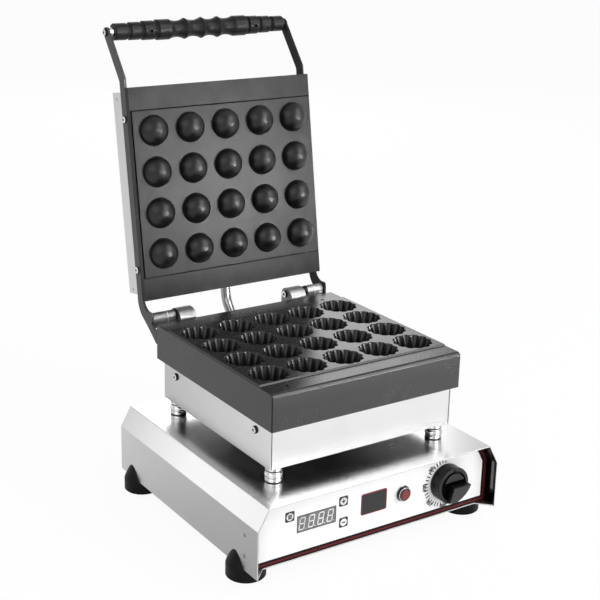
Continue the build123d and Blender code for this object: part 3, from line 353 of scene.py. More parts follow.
def boxSteel():
    # folded box: the front sheet butts against the side sheets, which leaves a thin dark joint
    # painted shade: the side sheets darken towards the back
    finish, colour = brushedSteel("boxSteel", "level", inShade=box["sideShade"])
    x, y, z = finish.axes()
    joint = (abs(abs(x) - box["joint"]) < box["jointHalf"]) * (y < box["jointBack"])
    # painted shade: the inside of the box is painted as dark as the joint
    inside = (abs(x) < box["insideHalf"]) * between(y, box["inside"])
    finish.drive("Base Color", finish.blendColour(joint | inside, colour, grey(box["dark"])))
    return finish.material


def plainSteel(name, streak, tone, rough):
    finish, colour = brushedSteel(name, streak, tone, rough)
    finish.drive("Base Color", colour)
    return finish.material


paint(casingSteel(), "base_casing")
paint(boxSteel(), "lower_box")
paint(plainSteel("coverSteel", "acrossAndDown", tone=0.74, rough=0.3), "lid_cover")
paint(plainSteel("panelSteel", "across", tone=0.7, rough=0.35), "front_panel", "rear_panel", "bottom_plate")
# the clamp plate inside the box is painted nearly black as shade
paint(plainSteel("clampSteelInShade", "none", tone=0.012, rough=0.5), "element_clamp")
print("stainless sheet done")


# turned, pressed and screwed metal parts
turned = {
    "cloud": 30.0,
    "mark": 220.0,
    "lines": (660, 660, 660),
    "linesDepth": 0.000006,
    "edge": 0.0003,
    "shadow": 0.03,
}


def turnedMetal(name, tone, rough, warm=0.0, paintedShade=None):
    # the given mask finds what lies in shadow, such as necks and screw sockets, and it is painted dark as
    # shade
    finish = Finish(name, {"Metallic": 1.0})
    cloud = finish.noise(turned["cloud"], 2.0, 0.5)
    lines = finish.noise(1.0, 2.0, 0.5, stretch=turned["lines"])
    mark = finish.noise(turned["mark"], 5.0, 0.65)
    colour = finish.mottle(mark * 0.6 + cloud * 0.4, grey(tone * 0.86, warm), grey(tone * 1.06, warm))
    if paintedShade is not None:
        colour = finish.blendColour(paintedShade(finish), colour, grey(turned["shadow"]))
    finish.drive("Base Color", colour)
    finish.drive("Roughness", rough + (mark - 0.5) * 0.16 + (cloud - 0.5) * 0.08)
    finish.drive("Normal", finish.bump(lines, turned["linesDepth"], 0.4, finish.softEdge(turned["edge"])))
    return finish.material


standoff = {"necks": (0.0947, 0.1063), "neckHalf": 0.0006}


def standoffNeckShade(finish):
    # painted shade in the necks between the turned rings
    x, y, z = finish.axes()
    return sum(abs(z - neck) < standoff["neckHalf"] for neck in standoff["necks"])


screws = {
    # places seen from the side, radius of the socket painted dark as shade, and radius where the painted
    # shade round the head's foot starts
    "pin": ([machine["pinPlace"]], 0.0019, 0.0042),
    "box": ([(-0.1305, 0.147), (0.0411, 0.147)], 0.0016, 0.0038),
    "lid": ([onLid(0.0141, 0.0360), onLid(0.0141, 0.2125), onLid(0.0451, 0.3134)], 0.0016, 0.0039),
}
screwHead = 0.0056


def sockets(kind):
    places, socket, rim = screws[kind]

    def mask(finish):
        x, y, z = finish.axes()
        reaches = [distanceTo(place, y, z) for place in places]
        return sum((reach < socket) + between(reach, (rim, screwHead)) for reach in reaches)

    return mask


bezel = {"steps": (0.00868, 0.00828), "stepHalves": (0.00022, 0.0002)}


def bezelStepShade(finish):
    # painted shade in the steps of the lamp's collar
    x, y, z = finish.axes()
    radius = distanceTo(machine["lampPlace"], x, z)
    return sum(abs(radius - step) < half for step, half in zip(bezel["steps"], bezel["stepHalves"]))


zinc = {
    "inLight": (0.24, 0.46),
    "inShade": (0.12, 0.21),
    "leftReach": (-0.122, -0.090),
    "leftShare": (1.0, 0.62),
    "leftEnd": -0.0890,
    "shadedShare": 0.55,
    "shade": 0.05,
    "seams": (0.1086, -0.1009),
    "seamHalf": 0.0005,
    "seamHighlightTone": 0.8,
}


def hingeZinc():
    # brackets, spacers and hubs: blasted plated steel, with painted shade towards the left and on faces that
    # face left, and a painted highlight along two joints
    finish = Finish("hingeZinc", {"Metallic": 0.85})
    x, y, z = finish.axes()
    grain = finish.noise(900.0, 3.0, 0.6)
    cloud = finish.noise(60.0, 4.0, 0.65)
    inLight, inShade = [finish.mottle(cloud, *map(grey, zinc[look])) for look in ("inLight", "inShade")]
    left = finish.spread(x, *zinc["leftReach"], *zinc["leftShare"]) * (x < zinc["leftEnd"])
    colour = finish.blendColour(left, inLight, inShade)
    # painted shade on faces that face left
    shaded = (finish.facing()[0] < -0.6) * zinc["shadedShare"]
    colour = finish.blendColour(shaded, colour, grey(zinc["shade"]))
    # painted highlight: a light line along the joints between hubs and spacers
    seam = sum(abs(x - place) < zinc["seamHalf"] for place in zinc["seams"])
    finish.drive("Base Color", finish.blendColour(seam, colour, grey(zinc["seamHighlightTone"])))
    finish.drive("Roughness", 0.46 + (cloud - 0.5) * 0.2)
    finish.drive("Normal", finish.bump(grain, 0.00004, 0.6, finish.softEdge(0.0006)))
    return finish.material


turnings = {
    "polishedSteel": ({"tone": 0.62, "rough": 0.16}, ["handle_spacers"]),
    "pinSteel": ({"tone": 0.75, "rough": 0.2, "paintedShade": sockets("pin")}, ["hinge_pins"]),
    "bezelSteel": ({"tone": 0.7, "rough": 0.14, "paintedShade": bezelStepShade}, ["lamp_bezel"]),
    "standoffSteel": ({"tone": 0.84, "rough": 0.14, "paintedShade": standoffNeckShade}, ["standoffs"]),
    # the grip's pins sit in recesses and are painted dark as shade
    "steelInRecessShade": ({"tone": 0.10, "rough": 0.4}, ["grip_pins"]),
    "rivetSteel": ({"tone": 0.26, "rough": 0.3}, ["panel_rivets"]),
    "screwSteel": ({"tone": 0.72, "rough": 0.2}, ["bracket_screws"]),
    "boxScrewSteel": ({"tone": 0.8, "rough": 0.2, "paintedShade": sockets("box")}, ["box_screws"]),
    "lidScrewSteel": (
        {"tone": 0.8, "rough": 0.2, "paintedShade": sockets("lid")},
        ["arm_screws", "handle_screws"],
    ),
    "dullSteel": (
        {"tone": 0.5, "rough": 0.34},
        ["cover_rivets", "bottom_screws", "foot_screws", "standoff_screws", "arm_spacers", "handle_rod",
         "thermostat_shaft"],
    ),
    "elementSheath": (
        {"tone": 0.22, "rough": 0.42, "warm": 0.06},
        ["lower_heating_element", "upper_heating_element"],
    ),
}

paint(hingeZinc(), "hinge_bracket_left", "hinge_bracket_right", "hinge_hubs", "hinge_spacers")
for name, (looks, pieces) in turnings.items():
    paint(turnedMetal(name, **looks), *pieces)
print("metal parts done")


# coated castings
casting = {
    "rough": 0.25,
    "cloudRough": 0.14,
    "speckRough": 0.12,
    "grain": 1300.0,
    "cloud": 26.0,
    "speck": 420.0,
    "edge": 0.0006,
    "cupShadeAndDomeTone": 0.002,
    # the front face is painted lighter than the rest as painted light, rising to its full tone towards its
    # top edge
    "frontLightTone": 0.05,
    "frontReach": (0.182, 0.198),    # heights between which the front face gets its full tone
    "frontLightShare": (0.55, 1.0),
    "frontSkin": 0.0012,
    "cornerSkin": 0.0011,
    "cornerRough": 0.5,
    "fieldEdge": (-0.0017, -0.0001),
    "flangeReach": (0.228, 0.252),
    "flangeShadeShare": (0.55, 0.0),
    "flangeFoot": 0.212,
    "cupPitch": 0.0481,
    "cupReach": 0.0233,
    "cupsY": 0.0034 + baseY,
    "cupRim": (0.2003, 0.2010),
    "domeFoot": (-0.0026, -0.0020),
}


def coatedMetal(name, shade, cavity, tone, shine, grainDepth, cavityRough, cavityCoat):
    # shade() darkens what lies in shadow, and cavity() finds the cups or the domes
    fixed = {"Metallic": 0.0, "Specular IOR Level": shine, "Coat Roughness": 0.34, "Coat IOR": 1.45}
    finish = Finish(name, fixed)
    grain = finish.noise(casting["grain"], 2.0, 0.55)
    cloud = finish.noise(casting["cloud"], 4.0, 0.6)
    speck = finish.noise(casting["speck"], 2.0, 0.5)
    colour = finish.blendColour(finish.spread(cloud, 0.3, 0.7, 0, 1), grey(tone * 0.82), grey(tone * 1.2))
    roughness = casting["rough"] + (cloud - 0.5) * casting["cloudRough"]
    roughness = roughness + (speck - 0.5) * casting["speckRough"]
    colour, roughness = shade(finish, colour, roughness)
    mask = cavity(finish)
    # painted shade: the cups' insides are painted nearly black; the domes take the same near-black tone
    finish.drive("Base Color", finish.blendColour(mask, colour, grey(casting["cupShadeAndDomeTone"])))
    finish.drive("Roughness", roughness + mask * cavityRough)
    finish.drive("Coat Weight", mask * cavityCoat)
    finish.drive("Normal", finish.bump(grain, grainDepth, 0.35, finish.softEdge(casting["edge"])))
    return finish.material


def lowerShade(finish, colour, roughness):
    # painted light makes the front face greyer, more so towards its top edge, and painted shade makes its
    # two upright corners dark
    x, y, z = finish.axes()
    front = y < machine["castingFront"] + casting["frontSkin"]
    share = finish.spread(z, *casting["frontReach"], *casting["frontLightShare"])
    colour = finish.blendColour(front * share, colour, grey(casting["frontLightTone"]))
    side = abs(x) > machine["castingHalf"] - casting["cornerSkin"]
    corner = side * (y < machine["castingFront"] + casting["cornerSkin"])
    return finish.blendColour(corner, colour, black), roughness + corner * casting["cornerRough"]


def upperShade(finish, colour, roughness):
    # painted shade: a dark line runs round the lid's raised field, and its flange darkens towards the hinge
    x, y, z = finish.axes()
    depth = lidDepth(finish)
    line = between(depth, casting["fieldEdge"])
    flange = (z > casting["flangeFoot"]) * (depth > casting["fieldEdge"][0])
    share = finish.spread(z, *casting["flangeReach"], *casting["flangeShadeShare"])
    return finish.blendColour(line | flange * share, colour, black), roughness


def cupMask(finish):
    # the insides of the twenty cups, below the field's face
    x, y, z = finish.axes()
    across = abs(x) < 2 * casting["cupPitch"] + casting["cupReach"]
    along = abs(y - casting["cupsY"]) < 1.5 * casting["cupPitch"] + casting["cupReach"]
    return across * along * finish.spread(z, *casting["cupRim"], 1, 0)


def domeMask(finish):
    # the twenty domes stand in front of the lid's face
    return finish.spread(lidDepth(finish), *casting["domeFoot"], 1, 0)


lowerLooks = {"tone": 0.018, "shine": 0.5, "grainDepth": 0.00008, "cavityRough": -0.02, "cavityCoat": 0.0}
upperLooks = {"tone": 0.036, "shine": 0.05, "grainDepth": 0.00007, "cavityRough": 0.15, "cavityCoat": 1.0}
paint(coatedMetal("lowerCoating", lowerShade, cupMask, **lowerLooks), "lower_plate")
paint(coatedMetal("upperCoating", upperShade, domeMask, **upperLooks), "upper_plate")
print("castings done")


# painted arms, plastics and rubber
plastic = {"cloud": 40.0, "dark": 0.8, "light": 1.25, "cloudRough": 0.16, "grainRough": 0.08}


def moulded(name, colour, rough, grain, depth, edge=0.0005, coat=0.0, shine=0.5):
    fixed = {"Metallic": 0.0, "Specular IOR Level": shine, "Coat Weight": coat, "Coat Roughness": 0.15}
    finish = Finish(name, fixed)
    pattern = finish.noise(grain, 2.0, 0.5)
    cloud = finish.noise(plastic["cloud"], 3.0, 0.6)
    dark, light = [
        tuple(min(1.0, c * plastic[share]) for c in colour[:3]) + (1,)
        for share in ("dark", "light")
    ]
    roughness = rough + (cloud - 0.5) * plastic["cloudRough"] + (pattern - 0.5) * plastic["grainRough"]
    finish.drive("Base Color", finish.mottle(cloud, dark, light))
    finish.drive("Roughness", roughness)
    finish.drive("Normal", finish.bump(pattern, depth, 0.4, finish.softEdge(edge)))
    return finish.material


mouldings = {
    "armPaint": (
        {"colour": grey(0.026), "rough": 0.38, "grain": 1300, "depth": 0.00002},
        ["arm_left"],
    ),
    # the right arm wears a darker, duller copy of the left arm's paint, as painted shade
    "armPaintInShade": (
        {"colour": grey(0.014), "rough": 0.52, "grain": 1300, "depth": 0.00002, "shine": 0.12},
        ["arm_right"],
    ),
    "gripPlastic": (
        {"colour": grey(0.006), "rough": 0.42, "grain": 900, "depth": 0.000004, "edge": 0.0008,
         "shine": 0.25},
        ["handle_grip"],
    ),
    "footRubber": (
        {"colour": grey(0.0035), "rough": 0.45, "grain": 1000, "depth": 0.00004, "edge": 0.0008,
         "shine": 0.15},
        ["foot_front_left", "foot_front_right", "foot_back_left", "foot_back_right"],
    ),
    "blackPlastic": (
        {"colour": grey(0.004), "rough": 0.42, "grain": 1200, "depth": 0.00002, "shine": 0.2},
        ["hinge_bushes", "conduit_bush", "cable_gland", "lid_gland"],
    ),
    "keyFilm": (
        {"colour": grey(0.010), "rough": 0.30, "grain": 1500, "depth": 0.00001, "edge": 0.0003, "coat": 0.3},
        ["key_set", "key_plus", "key_minus"],
    ),
    "creamPlastic": (
        {"colour": (0.62, 0.57, 0.46, 1), "rough": 0.45, "grain": 900, "depth": 0.00002},
        ["power_relay", "terminal_block", "thermostat_body"],
    ),
    "boardGreen": (
        {"colour": (0.01, 0.09, 0.035, 1), "rough": 0.35, "grain": 700, "depth": 0.00002},
        ["timer_board"],
    ),
    "mineralWool": (
        {"colour": (0.62, 0.58, 0.48, 1), "rough": 0.95, "grain": 400, "depth": 0.0006},
        ["upper_insulation"],
    ),
    # the lower wool inside the box is painted nearly black as shade, where the upper wool is cream
    "woolInShade": (
        {"colour": grey(0.012), "rough": 0.95, "grain": 400, "depth": 0.0006, "shine": 0.1},
        ["lower_insulation"],
    ),
}

for name, (looks, pieces) in mouldings.items():
    paint(moulded(name, **looks), *pieces)


knob = {
    "face": -0.1525 + baseY,
    "holeRise": 0.0186,
    "hole": 0.0014,
    "recess": 0.0170,
    "recessDepth": 0.0028,
    "skirt": 0.0200,
    "skirtDepth": 0.0010,
    "tones": (0.018, 0.036),
    "sideShadeTone": 0.001,
    "deepShadeTone": 0.0012,
}


def knobPlastic():
    # painted light: faces towards the user are greyer, and the sides, skirt, recess and pointer hole are
    # painted near black as shade
    finish = Finish("knobPlastic", {"Metallic": 0.0, "Specular IOR Level": 0.25})
    x, y, z = finish.axes()
    grain = finish.noise(1800.0, 2.0, 0.5)
    cloud = finish.noise(60.0, 3.0, 0.6)
    knobX, knobZ = machine["knobPlace"]
    radius = distanceTo((knobX, knobZ), x, z)
    hole = distanceTo((knobX, knobZ + knob["holeRise"]), x, z) < knob["hole"]
    recess = (radius < knob["recess"]) * (y > knob["face"] + knob["recessDepth"])
    skirt = (radius > knob["skirt"]) * (y > knob["face"] + knob["skirtDepth"])
    front = finish.spread(finish.facing()[1], -0.55, -0.85, 0, 1)
    colour = finish.blendColour(cloud, *map(grey, knob["tones"]))
    colour = finish.blendColour(front, grey(knob["sideShadeTone"]), colour)
    colour = finish.blendColour(recess | skirt | hole, colour, grey(knob["deepShadeTone"]))
    finish.drive("Base Color", colour)
    finish.drive("Roughness", 0.34 + (cloud - 0.5) * 0.14 + hole * 0.5 - skirt * 0.10)
    finish.drive("Normal", finish.bump(grain, 0.00001, 0.4, finish.softEdge(0.0007)))
    return finish.material


paint(knobPlastic(), "thermostat_knob")
print("paint and plastics done")


# printed front film: white with a black and red line along its bottom, right side and shoulder
film = {
    "gap": 0.00135,            # between the casing's outline and the film
    "width": 0.0072,
    "redBand": (0.14, 0.72),   # shares of the line's width
    "threadBand": (0.40, 0.52),
    "white": (0.90, 0.94),
    "black": grey(0.003),
    "red": (0.045, 0.005, 0.008, 1),
    "thread": (0.17, 0.028, 0.034, 1),
}


def printedFilm():
    finish = Finish("printedFilm", {"Metallic": 0.0, "Specular IOR Level": 0.12})
    x, y, z = finish.axes()
    cloud = finish.noise(14.0, 2.0, 0.5)
    grain = finish.noise(2500.0, 1.0, 0.5)
    edge = fromOutline(machine["casingHalf"] - x, z) - film["gap"]
    depth = edge.do("MINIMUM", z - machine["overlayBottom"])
    colour = finish.blendColour(cloud, *map(grey, film["white"]))
    colour = finish.blendColour(depth < film["width"], colour, film["black"])
    for stripe in ("red", "thread"):
        limits = [share * film["width"] for share in film[stripe + "Band"]]
        colour = finish.blendColour(between(depth, limits), colour, film[stripe])
    finish.drive("Base Color", colour)
    finish.drive("Roughness", 0.32 + (cloud - 0.5) * 0.1)
    finish.drive("Normal", finish.bump(grain, 0.000006, 0.3))
    return finish.material


display = {"clearHalf": (0.0238, 0.0086), "tones": (0.13, 0.18), "rimTone": 0.06}


def displayGlass():
    finish = Finish("displayGlass", {"Metallic": 0.0, "Coat Weight": 0.6, "Coat Roughness": 0.05})
    x, y, z = finish.axes()
    cloud = finish.noise(60.0, 2.0, 0.5)
    middleX, middleZ = machine["displayPlace"]
    halfX, halfZ = display["clearHalf"]
    rim = (abs(x - middleX) > halfX) | (abs(z - middleZ) > halfZ)
    colour = finish.blendColour(cloud, *map(grey, display["tones"]))
    finish.drive("Base Color", finish.blendColour(rim, colour, grey(display["rimTone"])))
    finish.drive("Roughness", 0.28 + (cloud - 0.5) * 0.1)
    return finish.material


lens = {"rim": (0.0050, 0.0054), "red": (0.19, 0.009, 0.013, 1), "rimRed": (0.05, 0.002, 0.004, 1)}


def lensPlastic():
    fixed = {"Metallic": 0.0, "Coat Weight": 0.3, "Coat Roughness": 0.04, "Emission Strength": 0.05}
    finish = Finish("lensPlastic", fixed)
    x, y, z = finish.axes()
    rim = finish.spread(distanceTo(machine["lampPlace"], x, z), *lens["rim"], 0, 1)
    colour = finish.blendColour(rim, lens["red"], lens["rimRed"])
    finish.drive("Base Color", colour)
    finish.drive("Emission Color", colour)
    finish.drive("Roughness", finish.spread(finish.noise(200.0), 0.3, 0.7, 0.16, 0.26))
    return finish.material


paint(printedFilm(), "front_overlay")
paint(displayGlass(), "display_module")
paint(lensPlastic(), "lamp_lens")
print("front panel finishes done")


# modelling helpers: operators work on what is selected, so each starts from nothing
upright = (math.pi / 2, 0, 0)  # turns a flat primitive so that it faces the user


def alone(piece):
    bpy.ops.object.select_all(action="DESELECT")
    piece.select_set(True)
    bpy.context.view_layer.objects.active = piece


def choose(piece, kind, test):
    # selects the faces or vertices that pass the test, and goes to edit mode
    alone(piece)
    bpy.ops.object.mode_set(mode="EDIT")
    bpy.ops.mesh.select_all(action="DESELECT")
    bpy.ops.mesh.select_mode(type="FACE" if kind == "polygons" else "VERT")
    bpy.ops.object.mode_set(mode="OBJECT")
    for item in getattr(piece.data, kind):
        item.select = bool(test(item))
    bpy.ops.object.mode_set(mode="EDIT")


def leaveEdit():
    bpy.ops.object.mode_set(mode="OBJECT")


def flatCircle(corners, radius):
    bpy.ops.mesh.primitive_circle_add(vertices=corners, radius=radius, fill_type="NGON", rotation=upright)
    bpy.ops.object.transform_apply(rotation=True)
    return bpy.context.active_object


def flatRectangle(width, height):
    bpy.ops.mesh.primitive_plane_add(size=1, rotation=upright)
    bpy.context.active_object.scale = (width, height, 1)
    bpy.ops.object.transform_apply(rotation=True, scale=True)
    return bpy.context.active_object


def raised(piece, height):
    # gives a flat face a thin body towards the user
    alone(piece)
    bpy.ops.object.mode_set(mode="EDIT")
    bpy.ops.mesh.select_all(action="SELECT")
    bpy.ops.mesh.extrude_region_move(TRANSFORM_OT_translate={"value": (0, -height, 0)})
    bpy.ops.mesh.select_all(action="SELECT")
    bpy.ops.mesh.normals_make_consistent(inside=False)
    leaveEdit()


def copyOf(piece, matrix):
    twin = piece.copy()
    twin.data = piece.data.copy()
    twin.data.transform(matrix)
    bpy.context.scene.collection.objects.link(twin)
    return twin


def joined(pieces):
    alone(pieces[0])
    for piece in pieces[1:]:
        piece.select_set(True)
    bpy.ops.object.join()
    return bpy.context.view_layer.objects.active


def wear(piece, *materials):
    piece.data.materials.clear()
    for material in materials:
        piece.data.materials.append(material)


def finishPiece(piece, name, body=None):
    # puts the piece's place into its mesh, names it and lets it ride on its body
    alone(piece)
    bpy.ops.object.transform_apply(location=True, rotation=True, scale=True)
    piece.name = name
    piece.data.name = name
    if body:
        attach(piece, body)


printLooks = {"rough": 0.35, "grain": 1500, "depth": 0.000005, "edge": 0.0001}
ink = moulded("printInk", grey(0.004), **printLooks)
paleInk = moulded("paleInk", grey(0.78), **printLooks)


# digits behind the display window
digits = {
    "count": 4,
    "pitch": 0.0119,
    "width": 0.0062,
    "height": 0.0132,
    "stroke": 0.0013,
    "pointShare": 0.62,
    "slant": math.radians(9),
    "shift": -0.0006,
    "dotShare": 0.72,
    "dotShape": (0.22, 1, 0.8, 1),
    "front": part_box("display_module")[0].y,
    "proud": 0.00012,
}


def segmentBar():
    # a bar with pointed ends, lying along x in the plane of the window
    bar = flatCircle(6, digits["stroke"] / 2)
    bar.data.transform(Matrix.Rotation(math.pi / 6, 4, "Y"))
    stretch = digits["width"] / 2 - digits["stroke"] * digits["pointShare"]
    for way in (-1, 1):
        choose(bar, "vertices", lambda v, way=way: v.co.x * way > 0.0001)
        bpy.ops.transform.translate(value=(way * stretch, 0, 0))
        leaveEdit()
    raised(bar, digits["proud"])
    return bar


def displayDigits():
    bar = segmentBar()
    half = digits["height"] / 2
    sideways = digits["width"] / 2
    spots = [Matrix.Translation((0, 0, level)) for level in (-half, 0, half)]
    spots += [
        Matrix.Translation((way * sideways, 0, level)) @ Matrix.Rotation(math.pi / 2, 4, "Y")
        for way in (-1, 1)
        for level in (-half / 2, half / 2)
    ]
    slant = Matrix.Identity(4)
    slant[0][2] = math.tan(digits["slant"])
    dot = Matrix.Translation((digits["width"] * digits["dotShare"], 0, -half))
    dot = dot @ Matrix.Diagonal(digits["dotShape"])
    middleX, middleZ = machine["displayPlace"]
    bars = []
    for place in range(digits["count"]):
        x = middleX + (place - (digits["count"] - 1) / 2) * digits["pitch"] + digits["shift"]
        home = Matrix.Translation((x, digits["front"], middleZ))
        bars += [copyOf(bar, home @ slant @ spot) for spot in spots]
        bars.append(copyOf(bar, home @ dot))
    bpy.data.objects.remove(bar)
    piece = joined(bars)
    wear(piece, paleInk)
    finishPiece(piece, "display_digits", "base")


displayDigits()
print("display digits done")


# white discs with their signs on the three keys
keys = {"disc": 0.0043, "corners": 40, "bar": 0.0013, "length": 0.0048, "gap": 0.0017, "proud": 0.0001}
keySigns = {
    # sideways shift, height and turn of each bar
    "key_set": [(0, keys["gap"], 0), (0, 0, 0), (0, -keys["gap"], 0)],
    "key_plus": [(0, 0, 0), (0, 0, math.pi / 2)],
    "key_minus": [(0, 0, 0)],
}


def keyMark(node):
    disc = flatCircle(keys["corners"], keys["disc"])
    raised(disc, keys["proud"])
    wear(disc, paleInk, ink)
    parts = [disc]
    for shift, height, turn in keySigns[node]:
        stroke = flatRectangle(keys["length"], keys["bar"])
        raised(stroke, keys["proud"])
        spot = Matrix.Translation((shift, -keys["proud"], height))
        stroke.data.transform(spot @ Matrix.Rotation(turn, 4, "Y"))
        wear(stroke, paleInk, ink)
        for face in stroke.data.polygons:
            face.material_index = 1
        parts.append(stroke)
    mark = joined(parts)
    low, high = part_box(node)
    mark.data.transform(Matrix.Translation(((low.x + high.x) / 2, low.y, (low.z + high.z) / 2)))
    finishPiece(mark, node + "_mark", node + "_cap")


for node in keySigns:
    keyMark(node)
print("key signs done")


# numbered scale round the thermostat knob
dial = {
    "centre": (0.0966, 0.0556),
    "inner": 0.0242,
    "outer": 0.0290,
    "tick": 0.0014,
    "numbers": ("50", "100", "150", "200", "250", "300"),
    "numberRadius": 0.0286,
    "numberSize": 0.0062,
    "numberWeight": 0.00036,
    "arrow": 0.0019,
    "arrowRadius": 0.0251,
    "numberArrow": 0.8,        # share of the off mark's size
    "step": math.radians(45),
    "ticksBetween": 4,
    "proud": 0.0001,
}


def onDial(angle, place):
    # a spot on the dial, turned counter-clockwise from its top
    centreX, centreZ = dial["centre"]
    centre = Matrix.Translation((centreX, machine["overlayFront"], centreZ))
    return centre @ Matrix.Rotation(-angle, 4, "Y") @ Matrix.Translation(place)


def dialTicks():
    tick = flatRectangle(dial["tick"], dial["outer"] - dial["inner"])
    raised(tick, dial["proud"])
    share = dial["ticksBetween"] + 1
    middle = (0, 0, (dial["inner"] + dial["outer"]) / 2)
    places = [i for i in range(len(dial["numbers"]) * share) if i % share]
    ticks = [copyOf(tick, onDial(i * dial["step"] / share, middle)) for i in places]
    bpy.data.objects.remove(tick)
    return ticks


def dialArrows():
    # the off mark points outwards and the numbers' arrows point at the knob
    arrow = flatCircle(3, dial["arrow"])
    raised(arrow, dial["proud"])
    arrows = []
    for i in range(len(dial["numbers"]) + 1):
        size = dial["numberArrow"] if i else 1.0
        flip = Matrix.Rotation(math.pi if i else 0, 4, "Y")
        spot = onDial(i * dial["step"], (0, 0, dial["arrowRadius"]))
        arrows.append(copyOf(arrow, spot @ flip @ Matrix.Diagonal((size, 1, size, 1))))
    bpy.data.objects.remove(arrow)
    return arrows


def dialNumber(number, angle):
    bpy.ops.object.text_add()
    text = bpy.context.active_object
    text.data.body = number
    text.data.size = dial["numberSize"]
    text.data.align_x = "CENTER"
    text.data.align_y = "CENTER"
    text.data.extrude = dial["proud"] / 2
    text.data.offset = dial["numberWeight"]
    alone(text)
    bpy.ops.object.convert(target="MESH")
    label = bpy.context.active_object
    spot = onDial(angle, (0, -dial["proud"] / 2, dial["numberRadius"]))
    label.data.transform(spot @ Matrix.Rotation(math.pi / 2, 4, "X"))
    return label


def dialScale():
    marks = dialTicks() + dialArrows()
    for i, number in enumerate(dial["numbers"], start=1):
        marks.append(dialNumber(number, i * dial["step"]))
    piece = joined(marks)
    wear(piece, ink)
    finishPiece(piece, "dial_scale", "base")


dialScale()
print("dial scale done")


# plain badge plate on the front film, with a red rim
badge = {
    "centre": (-0.0022, 0.0575),
    "size": (0.0345, 0.0250),
    "corner": 0.0025,
    "rim": 0.0009,
    "proud": 0.0004,
    "rimLooks": {"colour": (0.30, 0.012, 0.02, 1), "rough": 0.3},
    "fieldLooks": {"colour": grey(0.011), "rough": 0.38},
    "grainLooks": {"grain": 1500, "depth": 0.000005, "edge": 0.0002},
}


def badgePlate():
    plate = flatRectangle(*badge["size"])
    alone(plate)
    bpy.ops.object.mode_set(mode="EDIT")
    bpy.ops.mesh.select_all(action="SELECT")
    bpy.ops.mesh.bevel(offset=badge["corner"], segments=5, affect="VERTICES")
    leaveEdit()
    raised(plate, badge["proud"])
    rim = moulded("badgeRim", **badge["rimLooks"], **badge["grainLooks"])
    field = moulded("badgeField", **badge["fieldLooks"], **badge["grainLooks"])
    wear(plate, rim, field)
    choose(plate, "polygons", lambda face: face.normal.y < -0.9)
    bpy.ops.mesh.inset(thickness=badge["rim"], depth=0)
    leaveEdit()
    for face in plate.data.polygons:
        face.material_index = 1 if face.select else 0
    centreX, centreZ = badge["centre"]
    plate.data.transform(Matrix.Translation((centreX, machine["overlayFront"], centreZ)))
    finishPiece(plate, "badge_plate", "base")


badgePlate()
print("badge plate done")


# metal conduit between the lid and the base
conduit = {
    "radius": 0.0061,
    "points": (
        (0, 0.1329, 0.2125),
        (0, 0.1316, 0.2045),
        (0, 0.1284, 0.1936),
        (0, 0.1190, 0.1820),
        (0, 0.1030, 0.1670),
        (0, 0.0934, 0.1500),
        (0, 0.0920, 0.1300),
        (0, 0.0920, 0.0980),
        (0, 0.0920, 0.0620),
    ),
    "blendStart": (0, 0.092, 0.118),
    "blendEnd": (0, 0.131, 0.203),
    "tones": (0.24, 0.40),
}


def conduitMetal():
    finish = Finish("conduitMetal", {"Metallic": 1.0})
    cloud = finish.noise(60.0, 3.0, 0.6)
    fine = finish.noise(1200.0, 2.0, 0.5)
    finish.drive("Base Color", finish.mottle(cloud, *map(grey, conduit["tones"])))
    finish.drive("Roughness", 0.2 + (cloud - 0.5) * 0.12)
    finish.drive("Normal", finish.bump(fine, 0.000006, 0.4))
    return finish.material


def conduitTube():
    line = bpy.data.curves.new("conduitLine", "CURVE")
    line.dimensions = "3D"
    spline = line.splines.new("NURBS")
    spline.points.add(len(conduit["points"]) - 1)
    for point, place in zip(spline.points, conduit["points"]):
        point.co = (*place, 1)
    spline.order_u = 3
    spline.use_endpoint_u = True
    line.resolution_u = 12
    line.bevel_depth = conduit["radius"]
    line.bevel_resolution = 6
    line.use_fill_caps = True
    tube = bpy.data.objects.new("conduitLine", line)
    bpy.context.scene.collection.objects.link(tube)
    alone(tube)
    bpy.ops.object.convert(target="MESH")
    tube = bpy.context.active_object
    bpy.ops.object.shade_smooth_by_angle(angle=math.radians(40))
    wear(tube, conduitMetal())
    finishPiece(tube, "conduit_tube")
    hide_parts("conduit")
    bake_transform(tube)


conduitTube()
print("conduit done")


# floor, air and lamps
studio = {
    "floorSize": 12.0,
    "floorDrop": 0.0002,
    "floor": 0.94,
    "air": 0.58,
    "mirroredAir": 0.64,
    "seenShare": 0.93,
    "mirroredShare": 0.28,
    "lamps": (
        # place, aim, size, spread in degrees, watts
        ((1.3, -1.4, 2.0), (0, 0, 0.2), 1.5, 180, 23.0),
        ((0.99, -1.58, 0.42), (0, 0.11, 0.37), 0.36, 17, 0.36),
        ((-1.9, -0.9, 1.6), (0, 0, 0.2), 2.4, 180, 13.0),
        ((1.3, 2.4, 1.25), (0, 0, 0.2), 1.6, 180, 12.0),
        ((0.6, -2.4, 0.9), (0, 0, 0.1), 1.4, 180, 17.0),
        ((-1.55, 1.6, 0.5), (-0.15, -0.05, 0.08), 0.9, 180, 1.3),
    ),
}


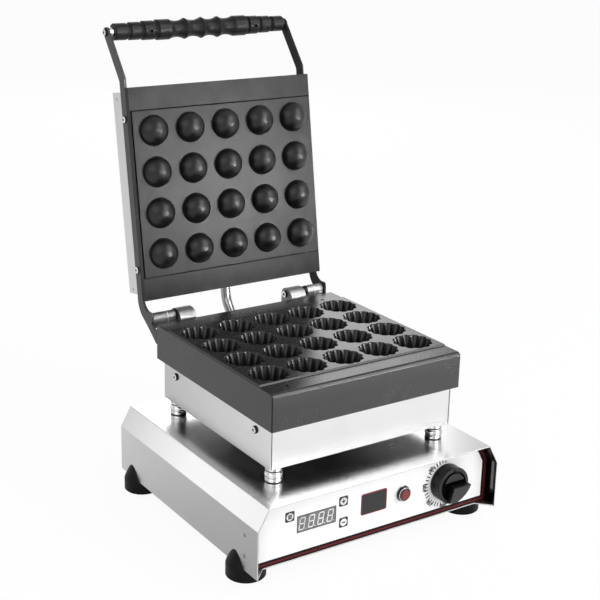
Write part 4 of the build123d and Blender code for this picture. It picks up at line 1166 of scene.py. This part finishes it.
def rayKinds(graph):
    # what is seen directly, and what is seen in a mirror or through glass
    rays = graph.node("ShaderNodeLightPath").socket.node.outputs
    mirrored = Wire(graph, rays["Is Glossy Ray"]) | Wire(graph, rays["Is Transmission Ray"])
    return Wire(graph, rays["Is Camera Ray"]), mirrored


def studioFloor():
    bpy.ops.mesh.primitive_plane_add(size=studio["floorSize"], location=(0, 0, -studio["floorDrop"]))
    floor = bpy.context.active_object
    floor.name = "studio_floor"
    finish = Finish("floorWhite", {"Base Color": grey(studio["floor"]), "Roughness": 0.9})
    seen, mirrored = rayKinds(finish)
    glow = finish.node("ShaderNodeEmission", None, {"Color": grey(1.0), "Strength": 1.0})
    share = seen * studio["seenShare"] | mirrored * studio["mirroredShare"]
    lit = Wire(finish, finish.shader.outputs[0])
    mixed = finish.node("ShaderNodeMixShader", None, {0: share, 1: lit, 2: glow})
    finish.tree.links.new(mixed.socket, finish.tree.nodes["Material Output"].inputs["Surface"])
    floor.data.materials.append(finish.material)


def studioAir():
    # white where the camera sees it, dimmer where it lights the machine
    world = bpy.data.worlds.new("studioAir")
    bpy.context.scene.world = world
    world.use_nodes = True
    air = Graph(world.node_tree)
    background = air.tree.nodes["Background"]
    background.inputs["Color"].default_value = grey(1.0)
    seen, mirrored = rayKinds(air)
    levels = {"Value": mirrored, "To Min": studio["air"], "To Max": studio["mirroredAir"]}
    strength = air.node("ShaderNodeMapRange", None, levels) | seen
    air.tree.links.new(strength.socket, background.inputs["Strength"])


def studioLamps():
    for i, (place, aim, size, spread, watts) in enumerate(studio["lamps"]):
        lampData = bpy.data.lights.new("studioLamp" + str(i), "AREA")
        lampData.shape = "DISK"
        lampData.size = size
        lampData.spread = math.radians(spread)
        lampData.energy = watts
        lamp = bpy.data.objects.new("studioLamp" + str(i), lampData)
        lamp.location = place
        lamp.rotation_mode = "QUATERNION"
        lamp.rotation_quaternion = (Vector(aim) - Vector(place)).to_track_quat("-Z", "Y")
        bpy.context.scene.collection.objects.link(lamp)


studioFloor()
studioAir()
studioLamps()
bpy.context.scene.view_settings.view_transform = "Standard"
print("studio done")
